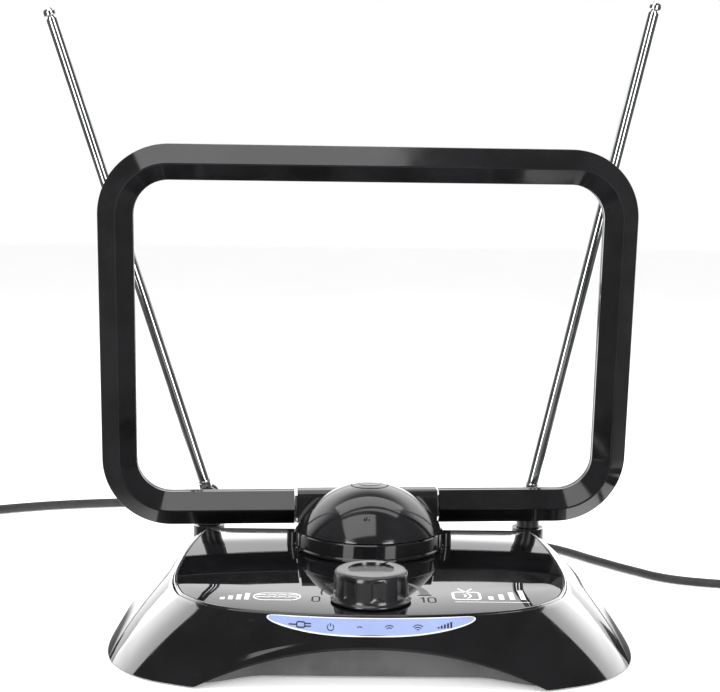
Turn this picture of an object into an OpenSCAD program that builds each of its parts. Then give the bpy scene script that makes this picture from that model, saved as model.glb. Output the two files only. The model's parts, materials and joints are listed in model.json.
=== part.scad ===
// Indoor television antenna: two telescopic rods and a bevelled UHF loop on an amplified base.
// Millimetres, +Z up. The origin is the centre of the base's footprint, on the table.
// -Y is the front, where the gain knob and the indicator window are.

/* [Base] */
// Height of the base at its top plate
base_h = 30; // [29:0.5:32]
// Half width of the base at the table
foot_half_w = 113.8; // [112:0.5:118]
// Half width of the base at the top plate
deck_half_w = 86; // [84:0.5:88]
// Wall of the upper housing
wall = 2.2; // [2:0.1:2.4]
// Height of the arch in the front wall
arch_h = 17.3; // [16:0.1:18]
// Half width of the arch at the table
arch_half_w = 71; // [68:1:73]

/* [Indicator window] */
// Half width of the lit window
lens_half_w = 41.3; // [36:0.1:42]
// Height of the lit window at its middle
lens_h = 7.3; // [6.5:0.1:7.6]

/* [Gain knob] */
// Radius of the knob's grip
knob_r = 14.6; // [13:0.1:15]
// Height of the knob above the plate
knob_h = 12.8; // [12:0.1:14]
// Number of finger flutes around the grip
flutes = 8; // [7:1:9]

/* [Hub] */
// Radius of the turret ring
ring_r = 35; // [34:0.5:36]
// Radius of the dome's sphere
dome_r = 38.3; // [38:0.1:39]
// Angle that the hub and the loop are turned to, anticlockwise from above
hub_turn = 4.4; // [-6:0.1:6]

/* [Loop] */
// Outside width of the loop
loop_w = 254; // [240:1:260]
// Outside height of the loop
loop_h = 182; // [170:1:190]
// Width of the loop's rail
rail_w = 16.4; // [15:0.1:18]
// How far the loop leans forward from upright
loop_lean = 5.65; // [0:0.05:20]

/* [Rods] */
// Length of a closed rod from its fold pin to its tip
rod_len = 253.5; // [220:0.5:280]
// Outward lean of the left rod from upright
lean_left = 18; // [5:0.1:60]
// Outward lean of the right rod from upright
lean_right = 13; // [5:0.1:60]

/* [Leads] */
// Diameter of the coaxial lead
coax_d = 5.4; // [5:0.1:6]
// Diameter of the power lead
power_d = 4.2; // [4:0.1:4.6]

/* [Hidden] */
$fn = 64;
eps = 0.1;

// Base: the plan grows from the deck to the table; a crease parts its front from its sides
front_steps = 36;
side_steps = 22;
rear_steps = 6;
deck_crease = [78.5, -44];
foot_crease = [108, -43];
deck_front_y = -71;
foot_front_y = -76;
deck_rear = [81.5, 71.5];
foot_rear = [110.5, 77];
side_waist_y = 12;
flank_bulge = 0.25;
rim_edge = 0.8;
rim_z = 0.8;
skin_levels = [rim_z, 5, 10, 15, 20, 25, base_h - rim_edge];
cavity_top_z = base_h - 4.2;
plate_t = 2;
plate_inset = 1.2;
plate_gap = 0.2;
arch_r = (arch_half_w * arch_half_w + arch_h * arch_h) / (2 * arch_h);
arch_cut_y = -40;
pad_t = 1.5;
floor_t = 2;
cover_gap = 0.4;
cover_top_z = pad_t + floor_t;
skirt_y = -60;
skirt_end_y = -69;
skirt_flat_x = 42;
skirt_end_x = 68;
skirt_t = 2;
soffit_t = 2.2;
soffit_y = -57.5;
cover_screw_xy = [[-76, 50], [76, 50], [-76, -38], [76, -38]];
boss_r = 3.6;
board_z = 13;
board_screw_xy = [[-50, -40], [50, -40], [-50, 8], [50, 8]];
pilot_r = 1.2;

// Gain knob
first_flute = -80.3;
dish_tilt = -7;

// Hub
hub_y = 40;
ring_top_z = base_h + 8.3;
seam = 0.3;
dome_z = base_h - 8.5;
dome_wall = 2.2;
dome_back_y = 10;
spindle_r = 12;
run = 0.05;
washer_z = 16.2;
washer_t = 1.5;
bolt_r = 2;
cap_r = 8.4;
bar_half_w = 34;
bar_y0 = 10;
bar_y1 = 21.5;
hinge_y = 16;
hinge_z = base_h + 15;
bar_top_z = base_h + 24;
pin_r = 2;
turret_screw_r = 24;

// Loop: v runs in from the outer edge, n out of the front
rail_gap = 1.2;
rail_end_x = bar_half_w + rail_gap;
loop_corner_r = 33;
ridge_v = rail_w * 0.53;
ridge_n = 7.5;
edge_n = 0.6;
part_n = -1.5;
back_n = -4;
shell_t = 1.6;
rail_mid = rail_w / 2;
end_block = 14;
element_w = 6;
element_t = 0.5;
loop_screw_t = 1.2;

// Rods
post_x = 81;
post_y = 80;
post_r = 5.7;
boss_out_r = 8;
journal_r = 3.5;
journal_z = 12;
fold_z = 44.5;
fork_half = 2;
fork_cheek = 4.6;
fork_r = 5.2;
foot_half = 1.7;
fold_pin_r = 1.2;
tube_r = [3, 2.55, 2.1, 1.65];
tube_t = 0.4;
tube_z0 = 8;
tube_step = 0.5;
tip_l = 4;

// Leads: the points of each route are set by hand, the turns of each coil are in its solid
coax_x = -20;
power_x = 45;
exit_z = 12;
coax_exit_y = 104;
power_exit_y = 108;
coax_route = [
    [-20, 104, 12], [-20, 114, 11], [-20, 124, 9], [-20, 135, 6.5], [-20, 147, 4],
    [-21, 160, 2.8], [-23, 173, 2.8], [-27, 186, 2.8], [-33, 199, 2.8], [-42, 211, 2.8],
    [-53, 222, 2.8], [-66, 231, 2.8], [-80, 238, 2.8], [-95, 243, 2.8], [-110, 246, 2.8],
    [-126, 248, 2.8], [-142, 249, 2.8], [-158, 248, 2.8], [-174, 245, 2.8], [-190, 241, 2.8],
    [-205, 236, 2.8], [-219, 230, 2.8], [-233, 223, 2.8], [-247, 216, 2.8], [-260, 209, 2.8],
    [-273, 202, 3.1], [-285, 196, 3.5]
];
power_route = [
    [45, 108, 12], [45, 117, 11], [46, 126, 9], [47, 135, 6], [49, 144, 3.5],
    [53, 152, 2.2], [59, 158, 2.2], [67, 162, 2.2], [76, 162, 2.2], [85, 159, 2.2],
    [93, 154, 2.2], [101, 148, 2.2], [108, 141, 2.2], [115, 132, 2.2], [121, 123, 2.2],
    [128, 114, 2.2], [134, 106, 2.2], [141, 98, 2.2], [148, 90, 2.2], [156, 84, 2.2],
    [165, 80, 2.2], [175, 77, 2.2], [185, 75, 2.2], [195, 73, 2.2], [205, 72, 2.2],
    [214, 71, 2.5], [222, 70, 2.9]
];
coax_coil_at = [-268, 165];
coax_coil_r = 30;
coax_columns = 3;
power_coil_at = [225, 100];
power_coil_r = 24;
power_columns = 4;
layers = 2;
coil_z = 0.8;
tie_t = 0.7;
tie_w = 6;
adapter_size = [44, 60, 28];

// ---- shapes shared by several pieces ----

function mix(a, b, w) = a + (b - a) * w;
// Share of the flare at height z: none at the deck, all at the table
function flare(z) = let (u = 1 - z / base_h) u + flank_bulge * u * (1 - u);

// Front line of the plan at the share w of the flare: shallow at its middle, curling to the crease
function front_line(x, w) = let (
        u = min(abs(x) / mix(deck_crease[0], foot_crease[0], w), 1),
        front = mix(deck_front_y, foot_front_y, w),
        depth = mix(deck_crease[1], foot_crease[1], w) - front
    ) front + depth * mix(mix(pow(u, 8), pow(u, 2), 0.57), mix(pow(u, 8), pow(u, 2), 0.3), w);

// Side line of the plan at the share w: widest at the waist, drawn in at the crease and the rear
function side_line(y, w) = let (
        a = mix(deck_half_w, foot_half_w, w),
        ahead = y < side_waist_y,
        tuck = a - mix(ahead ? deck_crease[0] : deck_rear[0],
            ahead ? foot_crease[0] : foot_rear[0], w),
        end = ahead ? mix(deck_crease[1], foot_crease[1], w) : mix(deck_rear[1], foot_rear[1], w)
    ) a - tuck * pow((y - side_waist_y) / (end - side_waist_y), mix(ahead ? 3 : 2, 4, w));

// Plan of the base at height z, moved in by inset, as a closed ring of points at that height
function plan(z, inset) = let (
        w = flare(min(max(z, 0), base_h)),
        xc = mix(deck_crease[0], foot_crease[0], w),
        yc = mix(deck_crease[1], foot_crease[1], w),
        xr = mix(deck_rear[0], foot_rear[0], w),
        yr = mix(deck_rear[1], foot_rear[1], w),
        front = mix(deck_front_y, foot_front_y, w),
        mid = (yr + front) / 2,
        kx = 1 - inset / mix(deck_half_w, foot_half_w, w),
        ky = 1 - inset / (yr - mid)
    ) [for (p = concat(
            [for (i = [0 : front_steps - 1]) let (x = xc * (2 * i / front_steps - 1))
                [x, front_line(x, w)]],
            [for (i = [0 : side_steps - 1]) let (y = mix(yc, yr, i / side_steps))
                [side_line(y, w), y]],
            [for (i = [0 : rear_steps - 1]) [xr * (1 - 2 * i / rear_steps), yr]],
            [for (i = [0 : side_steps - 1]) let (y = mix(yr, yc, i / side_steps))
                [-side_line(y, w), y]]
        )) [p[0] * kx, mid + (p[1] - mid) * ky, z]];

function flat(ring) = [for (p = ring) [p[0], p[1]]];

// Closed solid through rings that have the same number of points
module skin(rings) {
    n = len(rings[0]);
    m = len(rings);
    points = [for (r = rings) for (p = r) p];
    sides = [for (j = [0 : m - 2]) for (i = [0 : n - 1]) let (k = (i + 1) % n)
        each [[j * n + i, j * n + n + i, j * n + k], [j * n + k, j * n + n + i, j * n + n + k]]];
    first = [for (i = [0 : n - 1]) i];
    last = [for (i = [n - 1 : -1 : 0]) (m - 1) * n + i];
    polyhedron(points, concat(sides, [first], [last]), convexity = 6);
}

// Outer body of the base, moved in by inset
module base_body(inset) {
    skin(concat(
        [for (z = skin_levels) plan(z, inset)],
        [plan(base_h, inset + rim_edge)]
    ));
}

// Hollow of the base, moved in by a further gap
module base_hollow(gap) {
    levels = concat([-1], [for (z = skin_levels) if (z > rim_z && z < cavity_top_z) z]);
    skin(concat([for (z = levels) plan(z, wall + gap)], [plan(cavity_top_z - gap, wall + gap)]));
}

module arch_prism(grow) {
    translate([0, arch_cut_y, arch_h - arch_r])
        rotate([90, 0, 0]) cylinder(r = arch_r + grow, h = 60, $fn = 256);
}

// Screw with a pan head, its head's underside at the origin and its shank along -Z
module screw(r, length, head_r, head_h) {
    translate([0, 0, -length]) cylinder(r = r, h = length, $fn = 24);
    difference() {
        cylinder(r = head_r, h = head_h, $fn = 32);
        translate([0, 0, head_h]) cube([head_r * 1.2, 0.7, head_h], center = true);
        translate([0, 0, head_h]) cube([0.7, head_r * 1.2, head_h], center = true);
    }
}

// Window outline in X and Z: nearly flat top, bowed bottom, rounded ends
lens_top_z = base_h - 0.9;
lens_end_h = 0.14 * lens_h;
function lens_round(u) = sqrt(1 - pow(min(abs(u), 1), 30));
function lens_upper(u) = lens_top_z - lens_end_h * (1 - lens_round(u));
function lens_lower(u) = lens_top_z - lens_end_h
    - lens_h * (0.16 + 0.7 * (1 - pow(abs(u), 2.3))) * lens_round(u);

module lens_prism(grow) {
    us = [for (i = [-24 : 24]) sin(90 * i / 24)];
    k = lens_half_w + grow;
    translate([0, -50, 0]) rotate([90, 0, 0]) linear_extrude(height = 40) polygon(concat(
        [for (i = [0 : 48]) [us[i] * k, lens_lower(us[i]) - grow]],
        [for (i = [48 : -1 : 0]) [us[i] * k, lens_upper(us[i]) + grow]]
    ));
}

// Upright strip that follows the front face, between two insets from it
module front_strip(inset_out, inset_in, z0, h, half_w) {
    w = flare(27);
    xs = [for (i = [-20 : 20]) half_w * i / 20];
    translate([0, 0, z0]) linear_extrude(height = h) polygon(concat(
        [for (x = xs) [x, front_line(x, w) + inset_out]],
        [for (i = [40 : -1 : 0]) [xs[i], front_line(xs[i], w) + inset_in]]
    ));
}

module at_hub() {
    translate([0, hub_y, 0]) rotate([0, 0, hub_turn]) children();
}

module at_loop() {
    at_hub() translate([0, hinge_y, hinge_z]) rotate([90 + loop_lean, 0, 0])
        translate([0, -rail_mid, 0]) children();
}

// ---- base ----

module housing() {
    color("#141416") difference() {
        union() {
            difference() {
                base_body(0);
                base_hollow(0);
            }
            intersection() {
                base_body(0.6);
                difference() {
                    arch_prism(soffit_t);
                    arch_prism(0);
                }
                translate([-100, -90, 0]) cube([200, 90 + soffit_y, 30]);
            }
            for (s = [-1, 1]) translate([s * post_x, post_y, rim_z])
                cylinder(r = boss_out_r, h = base_h - rim_z);
            for (p = cover_screw_xy) translate([p[0], p[1], cover_top_z + 0.2])
                cylinder(r = boss_r, h = cavity_top_z - cover_top_z);
        }
        for (s = [-1, 1]) translate([s * post_x, post_y, 0]) {
            translate([0, 0, -1]) cylinder(r = journal_r + run, h = base_h + 2);
            translate([0, 0, -1]) cylinder(r = journal_r + 1.5, h = journal_z + 1);
        }
        for (p = cover_screw_xy) translate([p[0], p[1], 0]) cylinder(r = pilot_r, h = 14);
        translate([0, 0, base_h - plate_t])
            linear_extrude(height = plate_t + 1) polygon(flat(plan(base_h, plate_inset)));
        arch_prism(0);
        intersection() {
            lens_prism(0.15);
            front_strip(-3, 2.8, 10, 30, lens_half_w + 2);
        }
        translate([0, hub_y, 20]) cylinder(r = spindle_r + 3.2, h = 20);
        for (a = [30, 150, 270]) translate([0, hub_y, 20]) rotate(a)
            translate([turret_screw_r, 0, 0]) cylinder(r = 1.7, h = 20, $fn = 32);
        translate([0, knob_y(), 20]) cylinder(r = 3.7, h = 20);
        translate([power_x, 60, exit_z]) rotate([-90, 0, 0]) cylinder(r = 5.8, h = 30);
        translate([coax_x, 60, exit_z]) rotate([-90, 0, 0]) cylinder(r = 4.2, h = 30);
    }
}

function knob_y() = deck_front_y + 20.5;

module top_plate() {
    color("#0c0c0d") difference() {
        translate([0, 0, base_h - plate_t])
            linear_extrude(height = plate_t - 0.1)
                polygon(flat(plan(base_h, plate_inset + plate_gap)));
        translate([0, hub_y, 20]) cylinder(r = spindle_r + 3.2, h = 20);
        for (a = [30, 150, 270]) translate([0, hub_y, 20]) rotate(a)
            translate([turret_screw_r, 0, 0]) cylinder(r = 1.7, h = 20, $fn = 32);
        translate([0, knob_y(), 20]) cylinder(r = 3.7, h = 20);
    }
}

// Line of the recessed skirt: straight at its middle, easing forward to the arch's ends
function skirt_line(x) = let (u = min(max((abs(x) - skirt_flat_x) / (skirt_end_x - skirt_flat_x), 0), 1))
    mix(skirt_y, skirt_end_y, (1 - cos(180 * u)) / 2);

module bottom_cover() {
    xs = [for (x = [-skirt_end_x - 4 : 4 : skirt_end_x + 4]) x];
    front = [for (x = xs) [x, skirt_line(x)]];
    back = [for (i = [len(xs) - 1 : -1 : 0]) [xs[i], skirt_line(xs[i]) + skirt_t]];
    keep = concat(front, [[foot_half_w, skirt_end_y], [foot_half_w, 90], [-foot_half_w, 90],
        [-foot_half_w, skirt_end_y]]);
    color("#202022") difference() {
        union() {
            translate([0, 0, pad_t]) linear_extrude(height = floor_t) intersection() {
                polygon(keep);
                polygon(flat(plan(cover_top_z, wall + cover_gap)));
            }
            intersection() {
                translate([0, 0, pad_t]) linear_extrude(height = arch_h) polygon(concat(front, back));
                arch_prism(-cover_gap);
            }
            for (p = board_screw_xy) translate([p[0], p[1], pad_t])
                cylinder(r = boss_r, h = board_z - pad_t);
        }
        intersection() {
            difference() {
                arch_prism(soffit_t + cover_gap);
                arch_prism(-cover_gap);
            }
            translate([-100, -90, 0]) cube([200, 90 + soffit_y + cover_gap, 30]);
        }
        for (s = [-1, 1]) translate([s * post_x, post_y, 0]) cylinder(r = boss_out_r + cover_gap, h = 20);
        for (p = cover_screw_xy) translate([p[0], p[1], 0]) {
            cylinder(r = 1.7, h = 10, $fn = 32);
            cylinder(r = 3.2, h = pad_t + 0.9, $fn = 32);
        }
        for (p = board_screw_xy) translate([p[0], p[1], pad_t + 2])
            cylinder(r = pilot_r, h = board_z, $fn = 32);
        for (s = [-1, 1]) translate([s * 54, -9, pad_t + 0.5]) cylinder(r = 1.7, h = 8, $fn = 32);
    }
}

module base_pad() {
    color("#2b2b2b") linear_extrude(height = pad_t) offset(r = 8, $fn = 48)
        square([126, 68], center = true);
}

module cover_screws() {
    color("#9a9a98") for (p = cover_screw_xy)
        translate([p[0], p[1], pad_t + 0.9]) rotate([180, 0, 0]) screw(pilot_r, 9, 2.6, 1.6);
}

module ballast_plate() {
    color("#7d8084") difference() {
        translate([-62, -44, cover_top_z]) cube([124, 70, 3]);
        for (s = [-1, 1]) translate([s * 54, -9, 0]) cylinder(r = 1.7, h = 20, $fn = 32);
        for (p = board_screw_xy) translate([p[0], p[1], 0]) cylinder(r = boss_r + 0.3, h = 20);
    }
}

module ballast_screws() {
    color("#a8a8a4") for (s = [-1, 1])
        translate([s * 54, -9, cover_top_z + 3]) screw(1.7, 4.5, 3, 1.6);
}

module indicator_lens() {
    color("#b9c8f6") intersection() {
        lens_prism(0);
        front_strip(-0.2, 1.3, 10, 30, lens_half_w + 2);
    }
}

module light_guide() {
    color("#e8eef8") front_strip(2.9, 5.2, base_h - 6.8, 2.5, lens_half_w - 3);
}

led_x = [-28, -14, 14, 28];
led_back_y = -56.4;

module indicator_leds() {
    color("#f2f2ee") for (x = led_x) {
        y = front_line(x, flare(27)) + 5.5;
        translate([x - 1.6, y, base_h - 6.9]) cube([3.2, 1.6, 2.6]);
        for (s = [-1, 1]) translate([x + s * 0.9 - 0.25, y + 1.5, base_h - 5.6])
            cube([0.5, led_back_y - y - 1, 0.5]);
        for (s = [-1, 1]) translate([x + s * 0.9 - 0.25, led_back_y, board_z + 1.6])
            cube([0.5, 0.5, base_h - 5.1 - board_z - 1.6]);
    }
}

module circuit_board() {
    color("#1f5a34") difference() {
        translate([-58, -57, board_z]) cube([116, 70, 1.6]);
        for (p = board_screw_xy) translate([p[0], p[1], 0]) cylinder(r = 1.6, h = 40, $fn = 32);
    }
}

module screening_can() {
    color("#b8bcc0") difference() {
        translate([-34, -30, board_z + 1.6]) cube([44, 30, 7]);
        translate([-33.4, -29.4, board_z]) cube([42.8, 28.8, 8]);
    }
}

module board_screws() {
    color("#a8a8a4") for (p = board_screw_xy) translate([p[0], p[1], board_z + 1.6])
        screw(pilot_r, 9, 2.8, 1.5);
}

module gain_pot() {
    color("#6d7278") difference() {
        union() {
            translate([-6.5, knob_y() - 6, cavity_top_z - 6.1]) cube([13, 12, 6]);
            translate([0, knob_y(), cavity_top_z - 2]) cylinder(r = 3.5, h = base_h + 2.4 - cavity_top_z + 2);
            for (x = [-4, 0, 4]) translate([x - 0.4, knob_y() + 3, board_z + 1.6])
                cube([0.8, 0.8, cavity_top_z - 5.9 - board_z - 1.6]);
        }
        translate([0, knob_y(), cavity_top_z - 5]) cylinder(r = 3 + run, h = 12);
    }
}

module pot_nut() {
    color("#b9b9b4") translate([0, knob_y(), base_h - 0.1]) difference() {
        cylinder(r = 5.6, h = 2, $fn = 6);
        translate([0, 0, -1]) cylinder(r = 3.5, h = 5);
    }
}

module pot_shaft() {
    color("#c9c9c6") translate([0, knob_y(), cavity_top_z - 4.9])
        cylinder(r = 3, h = base_h + 8.5 - cavity_top_z + 4.9);
}

// ---- knob ----

module gain_knob() {
    z0 = base_h + 0.5;
    color("#19191b") translate([0, knob_y(), 0]) difference() {
        rotate_extrude($fn = 128) polygon([
            [9, z0], [knob_r + 1.4, z0], [knob_r + 1.9, z0 + 0.6], [knob_r + 1.5, z0 + 1.3],
            [knob_r + 0.9, z0 + 2], [knob_r + 0.7, z0 + 4], [knob_r + 0.45, z0 + knob_h - 3],
            [knob_r, z0 + knob_h - 1.3], [knob_r - 1.1, z0 + knob_h - 0.3],
            [knob_r - 2.6, z0 + knob_h], [0, z0 + knob_h], [0, z0 + 3.2], [9, z0 + 3.2]
        ]);
        for (i = [0 : flutes - 1]) rotate(first_flute + 360 * i / flutes)
            translate([knob_r + 2.9, 0, z0 + 2.6]) cylinder(r = 3, h = knob_h - 4.8, $fn = 32);
        translate([0, 0, z0 + knob_h - 0.5]) rotate([dish_tilt, 0, 0]) cylinder(r = 9.2, h = 6);
        translate([0, 0, z0 - 1]) cylinder(r = 3, h = 9);
        rotate(first_flute + 135) translate([8.4, -0.6, z0 + knob_h - 1.2]) cube([3.4, 1.2, 4]);
    }
}

module power_socket() {
    color("#1b1b1b") translate([power_x, 0, exit_z]) difference() {
        translate([-4.6, 59, -5.5]) cube([9.2, 12.6, 11]);
        translate([0, 62, 0]) rotate([-90, 0, 0]) difference() {
            cylinder(r = 2.8, h = 20);
            cylinder(r = 1, h = 8);
        }
    }
}

// ---- hub ----

module turret_ring() {
    lug_w = 9;
    color("#151517") translate([0, hub_y, 0]) difference() {
        union() {
            rotate_extrude($fn = 160) polygon([
                [spindle_r + run, 18], [spindle_r + 3, 18], [spindle_r + 3, base_h],
                [ring_r, base_h], [ring_r + 0.6, base_h + 0.6], [ring_r + 0.6, base_h + 1.4],
                [ring_r, base_h + 2], [ring_r, ring_top_z - 0.5], [ring_r - 0.5, ring_top_z],
                [ring_r - 3, ring_top_z], [ring_r - 3, base_h + 4], [spindle_r + run, base_h + 4]
            ]);
            for (s = [-1, 1]) intersection() {
                translate([s * (ring_r + 0.8), 0, base_h]) cylinder(r = 3.4, h = 6.4, $fn = 48);
                translate([-50, -lug_w / 2, base_h]) cube([100, lug_w, 20]);
            }
        }
        for (a = [30, 150, 270]) rotate(a) translate([turret_screw_r, 0, 20])
            cylinder(r = pilot_r, h = base_h - 20 + 3.4, $fn = 32);
    }
}

module turret_screws() {
    color("#a8a8a4") translate([0, hub_y, 0]) for (a = [30, 150, 270]) rotate(a)
        translate([turret_screw_r, 0, cavity_top_z]) rotate([180, 0, 0])
            screw(pilot_r, 7.4, 2.8, 1.6);
}

module hub_body() {
    disc_z = ring_top_z + seam;
    color("#161618") at_hub() difference() {
        union() {
            translate([0, 0, disc_z]) cylinder(r = ring_r - 5, h = 2.6, $fn = 128);
            translate([0, 0, washer_z + washer_t])
                cylinder(r = spindle_r, h = disc_z - washer_z - washer_t + 1);
            translate([-bar_half_w, bar_y0, disc_z])
                cube([2 * bar_half_w, bar_y1 - bar_y0, bar_top_z - disc_z - 3]);
            translate([-bar_half_w, bar_y0 + 3, disc_z])
                cube([2 * bar_half_w, bar_y1 - bar_y0 - 6, bar_top_z - disc_z]);
            for (y = [bar_y0 + 3, bar_y1 - 3]) translate([-bar_half_w, y, bar_top_z - 3])
                rotate([0, 90, 0]) cylinder(r = 3, h = 2 * bar_half_w, $fn = 48);
            intersection() {
                translate([0, 0, dome_z]) sphere(r = dome_r, $fn = 128);
                translate([-50, bar_y0, disc_z]) cube([100, 50, bar_top_z - disc_z - 6]);
            }
        }
        for (s = [-1, 1]) translate([s * (bar_half_w + 1), hinge_y, hinge_z])
            rotate([0, -s * 90, 0]) cylinder(r = pin_r + run, h = 13);
        translate([0, 0, 10]) cylinder(r = bolt_r + 0.1, h = 40);
    }
}

module hub_dome() {
    color("#1a1a1c") at_hub() difference() {
        intersection() {
            translate([0, 0, dome_z]) sphere(r = dome_r, $fn = 128);
            translate([-50, -50, ring_top_z + seam]) cube([100, 50 + dome_back_y, 40]);
        }
        intersection() {
            translate([0, 0, dome_z]) sphere(r = dome_r - dome_wall, $fn = 128);
            translate([-50, -50, 20]) cube([100, 50 + dome_back_y + 1, 60]);
        }
        translate([0, 0, dome_z + dome_r - 2.6]) cylinder(r = cap_r + 0.35, h = 10);
    }
}

module hub_cap() {
    color("#1c1c1e") at_hub() difference() {
        intersection() {
            translate([0, 0, dome_z + dome_r - 2.6]) cylinder(r = cap_r, h = 10);
            translate([0, 0, dome_z]) sphere(r = dome_r, $fn = 128);
        }
        translate([0, 0, dome_z + dome_r - 0.5]) difference() {
            cylinder(r = 5.6, h = 3);
            translate([0, 0, -1]) cylinder(r = 5.1, h = 5);
        }
    }
}

module hub_bolt() {
    z = ring_top_z + seam + 2.6;
    color("#a8a8a4") at_hub() translate([0, 0, z]) screw(bolt_r, z - 10, 3.8, 2.4);
}

module hub_washer() {
    color("#c4c4c0") at_hub() translate([0, 0, washer_z]) difference() {
        cylinder(r = 14, h = washer_t);
        translate([0, 0, -1]) cylinder(r = bolt_r + 0.2, h = 5);
    }
}

module hub_nut() {
    color("#a8a8a4") at_hub() translate([0, 0, washer_z - 3.2]) difference() {
        cylinder(r = 4, h = 3.2, $fn = 6);
        translate([0, 0, -1]) cylinder(r = bolt_r, h = 6);
    }
}

module loop_washers() {
    color("#d8d8d2") at_hub() for (s = [-1, 1])
        translate([s * bar_half_w, hinge_y, hinge_z]) rotate([0, s * 90, 0]) difference() {
            cylinder(r = 5.5, h = 0.9);
            translate([0, 0, -1]) cylinder(r = pin_r + run, h = 3);
        }
}

// ---- loop ----

// Sweeps a rail section along the loop, from one side of the hub round to the other.
// Children draw the section with v along X and n along Y; cut is the free length at each end.
module rail(section, cut) {
    w = loop_w / 2;
    r = loop_corner_r;
    for (s = [0, 1]) mirror([s, 0, 0]) {
        translate([rail_end_x + cut, 0, 0]) rotate([90, 0, 90])
            linear_extrude(height = w - r - rail_end_x - cut) polygon(section);
        translate([w - r, r, 0]) rotate([0, 0, -90]) rotate_extrude(angle = 90, $fn = 96)
            polygon([for (p = section) [r - p[0], p[1]]]);
        translate([w, r, 0]) rotate([90, 0, 180])
            linear_extrude(height = loop_h - 2 * r) polygon(section);
        translate([w - r, loop_h - r, 0]) rotate_extrude(angle = 90, $fn = 96)
            polygon([for (p = section) [r - p[0], p[1]]]);
        translate([0, loop_h, 0]) rotate([90, 0, 90]) mirror([1, 0, 0])
            linear_extrude(height = w - r) polygon(section);
    }
}

front_section = [[0, part_n], [rail_w, part_n], [rail_w, edge_n], [ridge_v, ridge_n], [0, edge_n]];
front_hollow = [[shell_t, part_n - eps], [rail_w - shell_t, part_n - eps],
    [rail_w - shell_t, edge_n + 0.4], [ridge_v, ridge_n - 2.1], [shell_t, edge_n + 0.4]];
back_section = [[0.9, back_n], [rail_w - 0.9, back_n], [rail_w, back_n + 0.8], [rail_w, part_n],
    [0, part_n], [0, back_n + 0.8]];
element_section = [[rail_mid - element_w / 2, part_n], [rail_mid + element_w / 2, part_n],
    [rail_mid + element_w / 2, part_n + element_t], [rail_mid - element_w / 2, part_n + element_t]];

module hinge_bores() {
    for (s = [-1, 1]) translate([s * (rail_end_x - 1), rail_mid, 0])
        rotate([0, s * 90, 0]) cylinder(r = pin_r, h = 11);
}

loop_screw_at = [
    for (s = [-1, 1]) for (p = [[loop_w / 2 - 10, 24], [loop_w / 2 - 10, loop_h - 24], [60, rail_mid]])
        [s * p[0] + s * (p[0] > 70 ? 10 - rail_mid : 0), p[1]]
];

module loop_front() {
    color("#1b1b1d") at_loop() difference() {
        rail(front_section, 0);
        rail(front_hollow, end_block);
        hinge_bores();
    }
}

module loop_back() {
    color("#1b1b1d") at_loop() difference() {
        rail(back_section, 0);
        hinge_bores();
        for (p = loop_screw_at) translate([p[0], p[1], back_n - eps]) {
            cylinder(r = 2.3, h = 1.1, $fn = 32);
            cylinder(r = pilot_r, h = 9, $fn = 32);
        }
    }
}

module loop_element() {
    color("#c08a3e") at_loop() difference() {
        rail(element_section, end_block + 2);
        for (p = loop_screw_at) translate([p[0], p[1], back_n]) cylinder(r = 2, h = 9, $fn = 32);
    }
}

module loop_screws() {
    color("#8a8a88") at_loop() for (p = loop_screw_at)
        translate([p[0], p[1], back_n + 1]) rotate([180, 0, 0]) screw(pilot_r, 3, 2.2, 1);
}

module loop_pins() {
    color("#a8a8a4") at_loop() for (s = [-1, 1])
        translate([s * (bar_half_w - 11), rail_mid, 0]) rotate([0, s * 90, 0])
            cylinder(r = pin_r, h = 11 + rail_gap + 10);
}

// ---- rods ----

module at_post(side) {
    translate([side * post_x, post_y, 0]) children();
}

module at_rod(side, lean) {
    translate([side * post_x, post_y, fold_z]) rotate([0, side * lean, 0]) children();
}

module post(side) {
    color("#1a1a1c") at_post(side) difference() {
        union() {
            translate([0, 0, journal_z - 0.3]) cylinder(r = journal_r, h = base_h - journal_z + 2);
            translate([0, 0, base_h + 0.3]) cylinder(r = post_r, h = 8.3);
            intersection() {
                translate([0, 0, base_h + 5]) cylinder(r = post_r, h = 20);
                translate([-10, -fork_cheek, base_h + 5]) cube([20, 2 * fork_cheek, 30]);
                union() {
                    translate([-fork_r, -10, base_h]) cube([2 * fork_r, 20, fold_z - base_h]);
                    translate([0, 10, fold_z]) rotate([90, 0, 0]) cylinder(r = fork_r, h = 20);
                }
            }
        }
        translate([-10, -fork_half, fold_z - 5]) cube([20, 2 * fork_half, 20]);
        translate([0, 10, fold_z]) rotate([90, 0, 0]) cylinder(r = fold_pin_r, h = 20, $fn = 32);
        cylinder(r = 1.5, h = 24, $fn = 32);
    }
}

module post_screw(side) {
    color("#a8a8a4") at_post(side) translate([0, 0, journal_z - 0.3]) rotate([180, 0, 0]) {
        difference() {
            cylinder(r = 4.6, h = 1);
            translate([0, 0, -1]) cylinder(r = 1.4, h = 4, $fn = 32);
        }
        translate([0, 0, 1]) screw(1.5, 11, 2.8, 1.8);
    }
}

module fold_pin(side) {
    color("#c9c9c6") at_post(side) translate([0, 0, fold_z]) rotate([90, 0, 0]) {
        translate([0, 0, -fork_cheek]) cylinder(r = fold_pin_r, h = 2 * fork_cheek, $fn = 32);
        for (s = [0, 1]) mirror([0, 0, s]) translate([0, 0, fork_cheek])
            cylinder(r1 = 2.4, r2 = 1.8, h = 1, $fn = 48);
    }
}

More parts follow.
